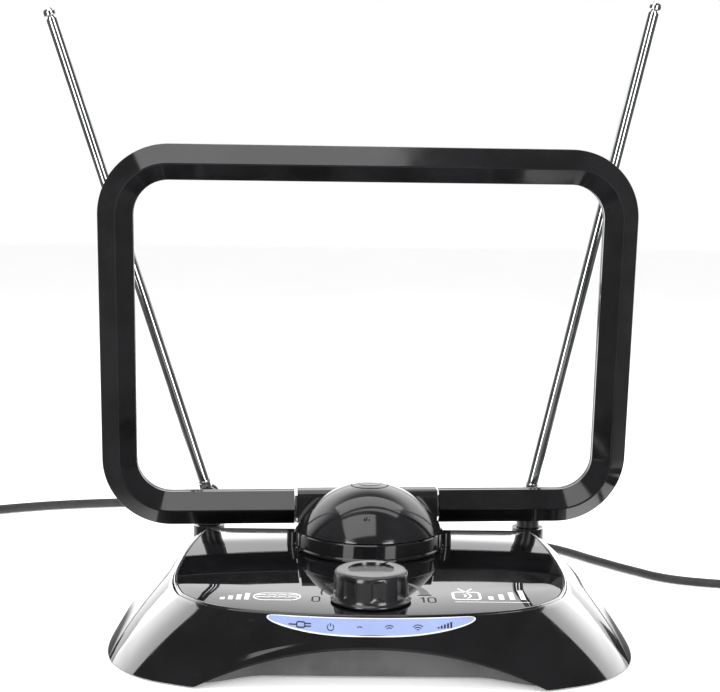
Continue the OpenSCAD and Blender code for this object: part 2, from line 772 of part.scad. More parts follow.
module rod_foot(side, lean) {
    color("#9b9da0") at_rod(side, lean) difference() {
        union() {
            translate([0, foot_half, 0]) rotate([90, 0, 0]) cylinder(r = 4.2, h = 2 * foot_half);
            translate([-2.9, -foot_half, 0]) cube([5.8, 2 * foot_half, 7]);
            translate([0, 0, 6.8]) cylinder(r = tube_r[0] + 0.4, h = tube_z0 - 6.8);
            translate([0, 0, tube_z0 - 0.1]) cylinder(r = tube_r[0] - tube_t, h = 3.6);
        }
        translate([0, 10, 0]) rotate([90, 0, 0]) cylinder(r = fold_pin_r + run, h = 20, $fn = 32);
    }
}

// Section i of a rod: the outer three are tubes, the last is solid
module rod_section(side, lean, i) {
    z0 = i == 0 ? tube_z0 : tube_z0 + 4 + tube_step * i;
    z1 = rod_len - tip_l - tube_step * (3 - i);
    color("#c2c5c8") at_rod(side, lean) difference() {
        translate([0, 0, z0]) cylinder(r = tube_r[i], h = z1 - z0);
        if (i < 3) translate([0, 0, z0 - 1]) cylinder(r = tube_r[i] - tube_t, h = z1 - z0 + 2);
    }
}

module rod_tip(side, lean) {
    color("#c2c5c8") at_rod(side, lean) translate([0, 0, rod_len - tip_l])
        rotate_extrude($fn = 64) polygon([
            [0, 0], [2.8, 0], [3.3, 0.4], [3.3, tip_l - 1.8], [2.9, tip_l - 0.7],
            [2, tip_l], [0, tip_l]
        ]);
}

module post_left() { post(-1); }
module post_right() { post(1); }
module post_screw_left() { post_screw(-1); }
module post_screw_right() { post_screw(1); }
module fold_pin_left() { fold_pin(-1); }
module fold_pin_right() { fold_pin(1); }
module rod_foot_left() { rod_foot(-1, lean_left); }
module rod_foot_right() { rod_foot(1, lean_right); }
module rod_tip_left() { rod_tip(-1, lean_left); }
module rod_tip_right() { rod_tip(1, lean_right); }

// ---- leads ----

function unit(v) = v / norm(v);

// Direction of a route at point i
function along(route, i) = unit(route[min(i + 1, len(route) - 1)] - route[max(i - 1, 0)]);

// Ring of points around point i of a route, square to the route
function ring_at(route, i, r, sides) = let (
        t = along(route, i),
        side = unit(cross(t, [0, 0, 1])),
        up = cross(side, t)
    ) [for (k = [0 : sides - 1]) let (a = 360 * k / sides)
        route[i] + r * cos(a) * side + r * sin(a) * up];

module lead(route, d, sides) {
    skin([for (i = [0 : len(route) - 1]) ring_at(route, i, d / 2, sides)]);
}

// Outer radius of a coil whose columns of turns lie side by side about radius r
function coil_out(r, d, columns) = r + columns * d / 2;

// Outer shape of a neat coil, laid in layers
module coil(at, r, d, columns) {
    half = columns * d / 2;
    c = d / 4;
    top = layers * d;
    translate([at[0], at[1], coil_z]) rotate_extrude($fn = 96) translate([r, 0]) polygon([
        [-half, c], [-half + c, 0], [half - c, 0], [half, c],
        [half, top - c], [half - c, top], [-half + c, top], [-half, top - c]
    ]);
}

// Band round the bundle of a coil, at an angle round it
module tie(at, r, d, columns, angle) {
    in_w = columns * d + 0.9;
    in_h = layers * d + 0.2;
    translate([at[0], at[1], coil_z - 0.1]) rotate(angle) translate([r, tie_w / 2, 0])
        rotate([90, 0, 0]) linear_extrude(height = tie_w) difference() {
            translate([-in_w / 2 - tie_t, -tie_t]) square([in_w + 2 * tie_t, in_h + 2 * tie_t]);
            translate([-in_w / 2, 0]) square([in_w, in_h]);
        }
}

module lead_ties() {
    color("#0f0f10") {
        tie(coax_coil_at, coax_coil_r, coax_d, coax_columns, -60);
        tie(power_coil_at, power_coil_r, power_d, power_columns, 150);
    }
}

// Space that a coil takes up, for whatever lies against it
module coil_room(at, out) {
    translate([at[0], at[1], -1]) cylinder(r = out + 0.05, h = 40, $fn = 96);
}

module coax_gland() {
    color("#151515") translate([coax_x, 0, exit_z]) rotate([-90, 0, 0]) difference() {
        rotate_extrude($fn = 48) polygon([
            [0, 68], [6, 68], [6, 71.4], [4.1, 71.4], [4.1, 77.4], [5.6, 77.4], [5.6, 80.4],
            [4.4, 81.4], [3.2, coax_exit_y], [0, coax_exit_y]
        ]);
        translate([0, 0, 60]) cylinder(r = 1, h = 10);
    }
}

module coax_lead() {
    color("#161616") lead(coax_route, coax_d, 10);
}

module coax_coil() {
    color("#161616") coil(coax_coil_at, coax_coil_r, coax_d, coax_columns);
}

// Screw-on plug of the coaxial lead, lying beside the coil and pointing to the front
module coax_plug() {
    out = coil_out(coax_coil_r, coax_d, coax_columns);
    color("#b8bcc0") difference() {
        translate([coax_coil_at[0] - out + coax_d / 2, coax_coil_at[1], 6.4]) rotate([90, 0, 0]) {
            difference() {
                union() {
                    translate([0, 0, 6]) cylinder(r = coax_d / 2, h = 17);
                    translate([0, 0, 22]) cylinder(r = 3.8, h = 13);
                    translate([0, 0, 35]) cylinder(r = 4.6, h = 3);
                    translate([0, 0, 38]) cylinder(r = 6.3, h = 9, $fn = 6);
                    translate([0, 0, 47]) cylinder(r = 5.2, h = 3);
                }
                translate([0, 0, 40]) cylinder(r = 4.6, h = 20);
            }
            translate([0, 0, 36]) cylinder(r = 0.5, h = 16, $fn = 24);
        }
        coil_room(coax_coil_at, out);
    }
}

module power_plug() {
    color("#151515") translate([power_x, 0, exit_z]) rotate([-90, 0, 0]) difference() {
        union() {
            translate([0, 0, 66]) cylinder(r = 2.75, h = 14);
            translate([0, 0, 77.5]) cylinder(r = 5, h = 18.5);
            translate([0, 0, 96]) cylinder(r1 = 4.4, r2 = 2.7, h = power_exit_y - 96, $fn = 48);
        }
        translate([0, 0, 60]) cylinder(r = 1.1, h = 14, $fn = 32);
    }
}

module power_lead() {
    color("#161616") lead(power_route, power_d, 10);
}

module power_coil() {
    color("#161616") coil(power_coil_at, power_coil_r, power_d, power_columns);
}

adapter_x = power_coil_at[0] + coil_out(power_coil_r, power_d, power_columns) - power_d / 2;
adapter_y = power_coil_at[1] + 40;

module power_adapter() {
    color("#141414") difference() {
        union() {
            translate([adapter_x - adapter_size[0] / 2, adapter_y, 0]) cube(adapter_size);
            translate([adapter_x, adapter_y, 8]) rotate([90, 0, 0])
                cylinder(r1 = 4.6, r2 = 2.8, h = 16, $fn = 48);
            translate([adapter_x, adapter_y - 10, 8]) rotate([90, 0, 0])
                cylinder(r = power_d / 2, h = 25);
        }
        translate([adapter_x, adapter_y + adapter_size[1], adapter_size[2] / 2])
            cube([30, 1.2, 16], center = true);
        coil_room(power_coil_at, coil_out(power_coil_r, power_d, power_columns));
    }
}

module adapter_blades() {
    color("#c9c2a0") for (s = [-1, 1])
        translate([adapter_x + s * 6.35 - 0.75, adapter_y + adapter_size[1] - 0.6,
            adapter_size[2] / 2 - 3.2]) cube([1.5, 17, 6.4]);
}

housing();
top_plate();
bottom_cover();
base_pad();
cover_screws();
ballast_plate();
ballast_screws();
indicator_lens();
light_guide();
indicator_leds();
circuit_board();
screening_can();
board_screws();
gain_pot();
pot_nut();
pot_shaft();
gain_knob();
power_socket();
turret_ring();
turret_screws();
hub_body();
hub_dome();
hub_cap();
hub_bolt();
hub_washer();
hub_nut();
loop_washers();
loop_front();
loop_back();
loop_element();
loop_screws();
loop_pins();
post_left();
post_screw_left();
fold_pin_left();
rod_foot_left();
rod_section(-1, lean_left, 0);  // rod_left_1
rod_section(-1, lean_left, 1);  // rod_left_2
rod_section(-1, lean_left, 2);  // rod_left_3
rod_section(-1, lean_left, 3);  // rod_left_4
rod_tip_left();
post_right();
post_screw_right();
fold_pin_right();
rod_foot_right();
rod_section(1, lean_right, 0);  // rod_right_1
rod_section(1, lean_right, 1);  // rod_right_2
rod_section(1, lean_right, 2);  // rod_right_3
rod_section(1, lean_right, 3);  // rod_right_4
rod_tip_right();
coax_gland();
coax_lead();
coax_coil();
coax_plug();
power_plug();
power_lead();
power_coil();
power_adapter();
adapter_blades();
lead_ties();
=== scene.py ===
import json
from math import acos, asin, atan2, cos, degrees, pi, radians, sin, sqrt, tan

import bmesh
import bpy
from mathutils import Matrix, Vector


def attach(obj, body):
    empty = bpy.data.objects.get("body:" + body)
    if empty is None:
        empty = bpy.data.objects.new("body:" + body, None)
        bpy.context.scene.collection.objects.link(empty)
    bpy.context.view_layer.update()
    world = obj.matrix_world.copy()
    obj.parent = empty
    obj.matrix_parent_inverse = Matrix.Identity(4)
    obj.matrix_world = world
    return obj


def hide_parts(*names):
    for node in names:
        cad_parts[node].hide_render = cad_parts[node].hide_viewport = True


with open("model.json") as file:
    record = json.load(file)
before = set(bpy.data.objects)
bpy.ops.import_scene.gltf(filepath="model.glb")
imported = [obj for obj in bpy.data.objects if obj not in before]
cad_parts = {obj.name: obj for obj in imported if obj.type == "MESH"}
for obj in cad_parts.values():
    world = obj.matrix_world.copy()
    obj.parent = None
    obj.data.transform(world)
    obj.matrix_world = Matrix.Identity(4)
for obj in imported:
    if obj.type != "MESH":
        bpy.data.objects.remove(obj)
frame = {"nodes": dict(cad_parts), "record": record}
scene = bpy.context.scene
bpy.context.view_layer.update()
MM = 0.001


def add_object(name, data):
    obj = bpy.data.objects.new(name, data)
    scene.collection.objects.link(obj)
    return obj


# ---- camera: at the height and angle of a product shot from the front ----

CAM_AT = (-0.0066, -0.55855, 0.1828)
CAM_PITCH = 5.5
CAM_YAW = -0.13
CAM_ROLL = 0.58
CAM_FOCAL_PX = 1278.5
IMAGE_W = 720
SENSOR_MM = 36


def make_camera():
    yaw, pitch, roll = (radians(v) for v in (CAM_YAW, CAM_PITCH, CAM_ROLL))
    ahead = Vector((-sin(yaw) * cos(pitch), cos(yaw) * cos(pitch), -sin(pitch)))
    right = Vector((cos(yaw), sin(yaw), 0))
    up = right.cross(ahead)
    x = cos(roll) * right + sin(roll) * up
    y = -sin(roll) * right + cos(roll) * up
    m = Matrix((x, y, -ahead)).transposed().to_4x4()
    m.translation = Vector(CAM_AT)
    cam = add_object("camera", bpy.data.cameras.new("camera"))
    cam.matrix_world = m
    cam.data.sensor_width = SENSOR_MM
    cam.data.lens = CAM_FOCAL_PX * SENSOR_MM / IMAGE_W
    cam.data.clip_start = 0.01
    scene.camera = cam


make_camera()


# ---- blending, and the building of a piece from points ----

def mix(a, b, w):
    return a + (b - a) * w


def step(a, b, x):
    """Smooth step from 0 where x is a to 1 where x is b."""
    t = min(max((x - a) / (b - a), 0), 1)
    return t * t * (3 - 2 * t)


def cap(bm, points, loops):
    """Face that closes a loop of point numbers; further loops in it are left open as holes."""
    if len(loops) == 1:
        bm.faces.new([points[i] for i in loops[0]])
        return
    edges = []
    for loop in loops:
        for a, b in zip(loop, loop[1:] + loop[:1]):
            pair = (points[a], points[b])
            edges.append(bm.edges.get(pair) or bm.edges.new(pair))
    bmesh.ops.triangle_fill(bm, use_beauty=True, use_dissolve=False, edges=edges)


def build(name, verts, faces, body, sharp, bevel=0.0, fill=(), matrix=None):
    """A piece from points in millimetres. fill lists the groups of loops to be capped."""
    bm = bmesh.new()
    points = [bm.verts.new(Vector(v)) for v in verts]
    for face in faces:
        bm.faces.new([points[i] for i in face])
    for loops in fill:
        cap(bm, points, loops)
    bmesh.ops.remove_doubles(bm, verts=bm.verts, dist=1e-4)
    bmesh.ops.recalc_face_normals(bm, faces=bm.faces)
    bm.transform(Matrix.Scale(MM, 4) @ (matrix or Matrix()))
    mesh = bpy.data.meshes.new(name)
    bm.to_mesh(mesh)
    bm.free()
    mesh.shade_smooth()
    mesh.set_sharp_from_angle(angle=radians(sharp))
    obj = add_object(name, mesh)
    if bevel:
        soften(obj, bevel, sharp)
    if body:
        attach(obj, body)
    return obj


def even_normals(obj, weight):
    """Shade flat faces flat, up to the rounding of their edges."""
    m = obj.modifiers.new("normals", "WEIGHTED_NORMAL")
    m.keep_sharp = True
    m.weight = weight


def soften(obj, width, angle):
    """Round the edges sharper than an angle; the width is in millimetres."""
    m = obj.modifiers.new("edges", "BEVEL")
    m.width = width * MM
    m.segments = 2
    m.limit_method = "ANGLE"
    m.angle_limit = radians(angle)
    m.harden_normals = True
    m.miter_outer = "MITER_ARC"
    even_normals(obj, 80)


def grid(rows, closed=True):
    """Faces between rows of points that all have the same number, and the points in one list."""
    n = len(rows[0])
    verts = [p for r in rows for p in r]
    faces = []
    for j in range(len(rows) - 1):
        for i in range(n if closed else n - 1):
            k = (i + 1) % n
            faces.append((j * n + i, j * n + k, (j + 1) * n + k, (j + 1) * n + i))
    return verts, faces


def end_loops(verts, n):
    """The first and the last n point numbers of a grid, each as a group to be capped."""
    return [[list(range(n))], [list(range(len(verts) - n, len(verts)))]]


def circle(r, z, n, at):
    return [(at[0] + r * cos(2 * pi * i / n), at[1] + r * sin(2 * pi * i / n), z)
            for i in range(n)]


def lathe(name, profile, body, n, sharp, matrix=None, shape=None):
    """A turned piece about Z; shape moves a point (r, angle, z) to (r, z)."""
    rows = []
    for r, z in profile:
        row = []
        for i in range(n):
            a = 2 * pi * i / n
            q, h = shape(r, a, z) if shape else (r, z)
            row.append((q * cos(a), q * sin(a), h))
        rows.append(row)
    verts, faces = grid(rows)
    return build(name, verts, faces, body, sharp, matrix=matrix)


# ---- leads: a coil is (centre, radius, columns) ----

COAX_D = 5.4
COAX_ROUTE = [
    (-20, 104, 12), (-20, 114, 11), (-20, 124, 9), (-20, 135, 6.5), (-20, 147, 4),
    (-21, 160, 2.8), (-23, 173, 2.8), (-27, 186, 2.8), (-33, 199, 2.8), (-42, 211, 2.8),
    (-53, 222, 2.8), (-66, 231, 2.8), (-80, 238, 2.8), (-95, 243, 2.8), (-110, 246, 2.8),
    (-126, 248, 2.8), (-142, 249, 2.8), (-158, 248, 2.8), (-174, 245, 2.8), (-190, 241, 2.8),
    (-205, 236, 2.8), (-219, 230, 2.8), (-233, 223, 2.8), (-247, 216, 2.8), (-260, 209, 2.8),
    (-273, 202, 3.1), (-285, 196, 3.5),
]
COAX_COIL = ((-268, 165), 30, 3)
POWER_D = 4.2
POWER_ROUTE = [
    (45, 108, 12), (45, 117, 11), (46, 126, 9), (47, 135, 6), (49, 144, 3.5),
    (53, 152, 2.2), (59, 158, 2.2), (67, 162, 2.2), (76, 162, 2.2), (85, 159, 2.2),
    (93, 154, 2.2), (101, 148, 2.2), (108, 141, 2.2), (115, 132, 2.2), (121, 123, 2.2),
    (128, 114, 2.2), (134, 106, 2.2), (141, 98, 2.2), (148, 90, 2.2), (156, 84, 2.2),
    (165, 80, 2.2), (175, 77, 2.2), (185, 75, 2.2), (195, 73, 2.2), (205, 72, 2.2),
    (214, 71, 2.5), (222, 70, 2.9),
]
POWER_COIL = ((225, 100), 24, 4)
COIL_Z = 0.8


def smooth(points, steps):
    """Catmull-Rom points through the given ones."""
    out = []
    n = len(points)
    for i in range(n - 1):
        p0, p1, p2, p3 = (Vector(points[min(max(j, 0), n - 1)]) for j in (i - 1, i, i + 1, i + 2))
        for k in range(steps):
            t = k / steps
            out.append(0.5 * (2 * p1 + (p2 - p0) * t + (2 * p0 - 5 * p1 + 4 * p2 - p3) * t * t
                              + (3 * p1 - p0 - 3 * p2 + p3) * t ** 3))
    out.append(Vector(points[-1]))
    return out


def coil_points(at, r, columns, d, start, turns):
    """Neat coil: in through the bottom layer's columns, out through the next layer's."""
    lanes = [(r + (columns - 1) / 2 * d - k * d, COIL_Z + d / 2) for k in range(columns)]
    lanes += [(q, z + d) for q, z in reversed(lanes)]
    last = len(lanes) - 1
    lane_turns = 1.04
    change = 0.16
    out = []
    steps_per_turn = 40
    n = int(turns * steps_per_turn)
    for i in range(1, n + 1):
        t = turns * i / n
        k = min(int(t / lane_turns), last)
        changing = k * lane_turns + lane_turns - change
        w = step(changing, changing + change, t) if k < last else 0
        here, after = lanes[k], lanes[min(k + 1, last)]
        q, z = mix(here[0], after[0], w), mix(here[1], after[1], w)
        a = start + 2 * pi * t
        out.append(Vector((at[0] + q * cos(a), at[1] + q * sin(a), z)))
    return out


def tube(name, points, r, sides=18):
    """Smooth closed tube along points; its section turns as little as it can on the way."""
    side = None
    rows = []
    for i, p in enumerate(points):
        ahead = (points[min(i + 1, len(points) - 1)] - points[max(i - 1, 0)]).normalized()
        if side is None:
            side = ahead.cross(Vector((0, 0, 1))).normalized()
        side = (side - ahead * side.dot(ahead)).normalized()
        up = side.cross(ahead)
        rows.append([p + r * (cos(a) * side + sin(a) * up)
                     for a in (2 * pi * k / sides for k in range(sides))])
    verts, faces = grid(rows)
    return build(name, verts, faces, "base", sharp=60, fill=end_loops(verts, sides))


def lead(name, route, coil, d, whole_turns, exit_deg, tail):
    """A lead's tube along its route, round its coil and out along its tail; with length and path."""
    at, r, columns = coil
    start = atan2(route[-1][1] - at[1], route[-1][0] - at[0])
    turns = whole_turns + (exit_deg - degrees(start)) % 360 / 360
    points = smooth(route, 3) + coil_points(at, r, columns, d, start, turns)
    points += [Vector(p) for p in tail]
    obj = tube(name, points, d / 2)
    length = sum((b - a).length for a, b in zip(points, points[1:])) * MM
    return obj, length, [tuple(p * MM) for p in points]


coax, coax_length, coax_path = lead(
    "coax_cable", COAX_ROUTE, COAX_COIL, COAX_D, 6, 180,
    [(-303.4, 160, 8.7), (-303.4, 152, 7.7), (-303.4, 146, 6.8), (-303.4, 141, 6.4)])
power, power_length, power_path = lead(
    "power_cable", POWER_ROUTE, POWER_COIL, POWER_D, 8, 0,
    [(255.3, 106, 7.2), (255.3, 114, 7.6), (255.3, 120, 8), (255.3, 126, 8)])
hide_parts("coax_lead", "coax_coil")
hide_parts("power_lead", "power_coil")


# ---- base: its plan grows from the deck to the table; a crease parts the front from the sides ----

BASE_H = 30
FOOT_GAP = 0.8
RIM = 0.8
WALL = 2.2
POCKET_Z, CEILING_Z = 28, 25.8
POCKET_INSET, PLATE_INSET = 1.2, 1.42
DECK_FRONT, FOOT_FRONT = -71, -76
DECK_HALF, FOOT_HALF = 86, 113.8
DECK_CREASE, FOOT_CREASE = (78.5, -44), (108, -43)
DECK_REAR, FOOT_REAR = (81.5, 71.5), (110.5, 77)
WAIST_Y = 12
FLANK_BULGE = 0.25
ARCH_H, ARCH_HALF = 17.3, 71
ARCH_R = (ARCH_HALF ** 2 + ARCH_H ** 2) / (2 * ARCH_H)
SOFFIT_Y = -57.5
LIP_OUT, LIP_H, LIP_FADE_H = 1.5, 2.2, 6.2
LIP_FULL_X, LIP_END_X = 66, 82
HUB = (0, 40)
HUB_TURN = 4.4
KNOB = (0, -50.5)
DECK_HOLES = ((HUB, 15.2), (KNOB, 3.7))
HOLE_SIDES = 64
POST_X, POST_Y = 81, 80
POST_BORE, POST_R = 3.55, 8


def flare(z):
    """0 at the deck and 1 at the table, with the flank a little full between them."""
    u = 1 - min(max(z, 0), BASE_H) / BASE_H
    return u + FLANK_BULGE * u * (1 - u)


def front_y(u, w):
    """The front's Y at flare w, where u goes from -1 at the left crease to 1 at the right one."""
    u = min(abs(u), 1)
    front = mix(DECK_FRONT, FOOT_FRONT, w)
    depth = mix(DECK_CREASE[1], FOOT_CREASE[1], w) - front
    return front + depth * mix(mix(u ** 8, u * u, 0.57), mix(u ** 8, u * u, 0.3), w)


def side_x(y, w):
    """The side's half width at flare w: widest at the waist, and tucked in at both creases."""
    half = mix(DECK_HALF, FOOT_HALF, w)
    ahead = y < WAIST_Y
    at_deck, at_foot = (DECK_CREASE, FOOT_CREASE) if ahead else (DECK_REAR, FOOT_REAR)
    tuck = half - mix(at_deck[0], at_foot[0], w)
    end = mix(at_deck[1], at_foot[1], w)
    return half - tuck * ((y - WAIST_Y) / (end - WAIST_Y)) ** mix(3 if ahead else 2, 4, w)


def plan(kind, t, z, inset=0.0):
    """Point (x, y) of the outline at height z: t goes from 0 to 1 along a side, -1 to 1 in front."""
    w = flare(z)
    crease_x, crease_y = mix(DECK_CREASE[0], FOOT_CREASE[0], w), mix(DECK_CREASE[1], FOOT_CREASE[1], w)
    rear_x, rear_y = mix(DECK_REAR[0], FOOT_REAR[0], w), mix(DECK_REAR[1], FOOT_REAR[1], w)
    if kind == "front":
        x, y = t * crease_x, front_y(t, w)
    elif kind == "rear":
        x, y = rear_x * (1 - 2 * t), rear_y
    else:
        y = mix(crease_y, rear_y, t)
        x = side_x(y, w) * (1 if kind == "right" else -1)
    mid = (rear_y + mix(DECK_FRONT, FOOT_FRONT, w)) / 2
    narrow = 1 - inset / mix(DECK_HALF, FOOT_HALF, w)
    return x * narrow, mid + (y - mid) * (1 - inset / (rear_y - mid))


def wall_columns(front=180, side=64, rear=36):
    """Columns of points round the base, each a stretch of the outline and a place along it."""
    out = [("front", -1 + 2 * i / front) for i in range(front)]
    out += [("right", i / side) for i in range(side)]
    out += [("rear", i / rear) for i in range(rear)]
    out += [("left", 1 - i / side) for i in range(side)]
    return out


COLUMNS = wall_columns()


def arch_z(x):
    return ARCH_H - ARCH_R + sqrt(max(ARCH_R ** 2 - x * x, 0))


def low_z(kind, t):
    """Height of the wall's lower edge in a column: the table's gap, or the arch in the front."""
    z = FOOT_GAP
    if kind == "front":
        for _ in range(12):
            z = max(FOOT_GAP, arch_z(plan(kind, t, z)[0]))
    return z


def lip(x, s):
    """How far the front stands out over the arch, at height s above its edge."""
    out = LIP_OUT * step(LIP_END_X, LIP_FULL_X, abs(x))
    if s < LIP_H:
        return out * (1 - 0.16 * (s - LIP_H / 2) ** 2)
    return out * 0.8 * (1 - step(LIP_H, LIP_FADE_H, s))


def pocket_points(kind, t):
    """A column's points up the wall of the plate's pocket and round the rim."""
    edge = plan(kind, t, BASE_H, POCKET_INSET)
    out = [(*edge, z) for z in (POCKET_Z, BASE_H - 1, BASE_H - 0.12)]
    out.append((*plan(kind, t, BASE_H, POCKET_INSET - 0.12), BASE_H))
    for deg in (90, 72, 54, 36, 18):
        a = radians(deg)
        inset = RIM * (1 - cos(a)) + 0.02
        out.append((*plan(kind, t, BASE_H, inset), BASE_H - RIM + RIM * sin(a)))
    return out


def outside_points(kind, t, z0, steps=34):
    """A column's points down the outside, closest together near the lower edge."""
    out = []
    for i in range(steps, -1, -1):
        z = mix(z0, BASE_H - RIM, (i / steps) ** 1.5)
        x, y = plan(kind, t, z)
        if kind == "front":
            y -= lip(x, z - z0)
        out.append((x, y, z))
    return out


def inside_points(kind, t, z0):
    """A column's points under the lower edge and up the inside; the arch has a deep soffit."""
    back = plan(kind, t, z0, WALL)
    if kind == "front" and abs(plan(kind, t, z0)[0]) < ARCH_HALF - 0.5:
        back = (back[0], SOFFIT_Y)
    out = [(*back, z0), (*back, z0 + WALL - 0.1)]
    for z in (z0 + WALL + 0.1, max(22, z0 + 3), max(CEILING_Z, z0 + 3)):
        out.append((*plan(kind, t, z, WALL), z))
    return out


def add_hole(verts, faces, at, r, first_z, last_z):
    """Add a round hole's wall between two heights; gives the loop of point numbers at each."""
    n = HOLE_SIDES
    start = len(verts)
    verts += circle(r, first_z, n, at) + circle(r, last_z, n, at)
    first, last = list(range(start, start + n)), list(range(start + n, start + 2 * n))
    faces += [(first[i], first[(i + 1) % n], last[(i + 1) % n], last[i]) for i in range(n)]
    return first, last


def add_post_boss(verts, faces, x, y):
    """Add the round boss behind the base that a rod's post turns in."""
    profile = [(POST_BORE, 12), (POST_BORE, BASE_H), (7.5, BASE_H), (7.85, BASE_H - 0.15),
               (POST_R, BASE_H - 0.5), (POST_R, FOOT_GAP), (5, FOOT_GAP), (5, 12)]
    rows = [circle(r, z, HOLE_SIDES, (x, y)) for r, z in profile + profile[:1]]
    points, quads = grid(rows)
    start = len(verts)
    verts += points
    faces += [tuple(start + i for i in quad) for quad in quads]


def make_housing():
    """The upper housing: one skin from the plate's pocket round the lip and up the inside."""
    strips = []
    for kind, t in COLUMNS:
        z0 = low_z(kind, t)
        strips.append(pocket_points(kind, t) + outside_points(kind, t, z0) + inside_points(kind, t, z0))
    verts, faces = grid(list(zip(*strips)))
    (pocket,), (ceiling,) = end_loops(verts, len(COLUMNS))
    holes = [add_hole(verts, faces, at, r, POCKET_Z, CEILING_Z) for at, r in DECK_HOLES]
    for x in (-POST_X, POST_X):
        add_post_boss(verts, faces, x, POST_Y)
    obj = build("housing_shell", verts, faces, "base", sharp=33, bevel=0.3,
                fill=[[pocket] + [h[0] for h in holes], [ceiling] + [h[1] for h in holes]])
    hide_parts("housing")
    return obj


def make_plate():
    under_z, top_z = POCKET_Z + 0.02, BASE_H - 0.1
    levels = [(PLATE_INSET, under_z), (PLATE_INSET, BASE_H - 0.3), (PLATE_INSET + 0.06, BASE_H - 0.15),
              (PLATE_INSET + 0.2, top_z)]
    rows = [[(*plan(kind, t, BASE_H, inset), z) for kind, t in COLUMNS] for inset, z in levels]
    verts, faces = grid(rows)
    low, top = end_loops(verts, len(COLUMNS))
    for at, r in DECK_HOLES:
        low_loop, top_loop = add_hole(verts, faces, at, r, under_z, top_z)
        low.append(low_loop)
        top.append(top_loop)
    obj = build("top_plate_panel", verts, faces, "base", sharp=50, fill=[low, top])
    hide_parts("top_plate")
    return obj


housing = make_housing()
plate = make_plate()


# ---- printed marks: flat strips on a surface; a stroke is (points, width), and True if closed ----

THIN = 0.75
PLATE_INK_Z = 29.93


def strip(points, width, closed):
    """Points and faces of a flat band along a line; width is one number, or one for each point."""
    n = len(points)
    verts = []
    for i in range(n):
        a = Vector(points[(i - 1) % n] if closed or i else points[i])
        b = Vector(points[(i + 1) % n] if closed or i < n - 1 else points[i])
        d = (b - a).normalized()
        w = width[i] if isinstance(width, list) else width
        side = Vector((-d.y, d.x)) * w / 2
        p = Vector(points[i])
        verts += [tuple(p + side), tuple(p - side)]
    count = n if closed else n - 1
    faces = [(2 * i, 2 * i + 1, 2 * ((i + 1) % n) + 1, 2 * ((i + 1) % n)) for i in range(count)]
    return verts, faces


def polar(cx, cy, r, deg):
    a = radians(deg)
    return cx + r * cos(a), cy + r * sin(a)


def arc(cx, cy, r, a0, a1, n):
    return [polar(cx, cy, r, mix(a0, a1, i / n)) for i in range(n + 1)]


def line(x0, y0, x1, y1, n=6):
    return [(mix(x0, x1, i / n), mix(y0, y1, i / n)) for i in range(n + 1)]


def round_box(cx, cy, w, h, r, n=8):
    out = []
    for sx, sy, a in ((1, -1, -90), (1, 1, 0), (-1, 1, 90), (-1, -1, 180)):
        out += arc(cx + sx * (w / 2 - r), cy + sy * (h / 2 - r), r, a, a + 90, n)
    return out


def printed(name, strokes, place):
    verts, faces = [], []
    for points, width, *closed in strokes:
        band, quads = strip(points, width, bool(closed))
        start = len(verts)
        verts += [place(*p) for p in band]
        faces += [tuple(start + i for i in quad) for quad in quads]
    obj = build(name, verts, faces, "base", sharp=60)
    return obj


def on_plate(x, y):
    return (x, y, PLATE_INK_Z)


SCALE_Y, SCALE_R = -39.6, 20.4
DIGIT_Y, DIGIT_H = -49.2, 7.0


def zero(x):
    return (round_box(x, DIGIT_Y, 2.9, DIGIT_H, 1.4), THIN, True)


def one(x):
    top = DIGIT_Y + DIGIT_H / 2 + 0.1
    return [(line(x, top - DIGIT_H - 0.2, x, top), 0.8), (line(x - 1.2, top - 2, x, top), 0.6)]


def scale_marks():
    """Round the knob: a thin arc up from the number 0, a dash, and the number 10."""
    rising = arc(0, SCALE_Y, SCALE_R, 190, 138, 30)
    dash = line(19.4, SCALE_Y - 3.2, 25.2, SCALE_Y - 3.2)
    return [(rising, THIN), (dash, 1.1), zero(-22.4), *one(21.6), zero(25.0)]


def scale_wedge(n=30):
    """Arc at the right of the knob that thickens outward on its way down to 10."""
    widths = [mix(THIN, 4.3, i / n) for i in range(n + 1)]
    points = [polar(0, SCALE_Y, SCALE_R + w / 2, mix(52, -7, i / n)) for i, w in enumerate(widths)]
    return [(points, widths)]


def pill_badge():
    """Generic mark at the left: rising bars beside a rounded label with two rows of waves."""
    foot = -50.8
    strokes = []
    for i in range(4):
        x = -60.6 + 3.3 * i
        strokes.append((line(x, foot, x, foot + 3 + 2 * i), 1.9))
    strokes.append((round_box(-38.4, -46.2, 19.0, 9.6, 4.6), THIN, True))
    for i in range(4):
        for y in (-50.0, -47.2):
            strokes.append((arc(-44.7 + 4.2 * i, y, 3.4, 50, 130, 10), 0.8))
    return strokes


def screen_badge():
    """Generic mark at the right: a television outline with two ears, arcs and level bars."""
    x, y, h = 39.6, -42.8, 10.4
    top = y + h / 2 + 0.2
    strokes = [(round_box(x, y, 11.0, h, 1.8), 1.0, True)]
    for s in (-1, 1):
        strokes.append((line(x, top, x + 3 * s, top + 4.8), THIN))
    strokes.append((line(34.2, -51.4, 64.6, -51.4), 0.55))
    for i in range(4):
        bar_x = 49.4 + 4.4 * i
        strokes.append((line(bar_x, -47.8, bar_x, -43.6 + 3 * i), 2.1))
    for r, n in ((2.3, 10), (4.4, 12)):
        strokes.append((arc(37.0, y, r, -50, 50, n), 0.8))
    return strokes


scale_print = printed("scale_print", scale_marks(), on_plate)
wedge_print = printed("scale_wedge", scale_wedge(), on_plate)
white_print = printed("plate_pictograms", pill_badge() + screen_badge(), on_plate)


# ---- indicator window: a narrow pale rim round a blue face, on the front wall ----

LENS_HALF, LENS_H, LENS_TOP = 41.3, 7.3, 29.1
LENS_END_H = 0.14 * LENS_H
LENS_STEPS = 96
RIM_W = 0.7


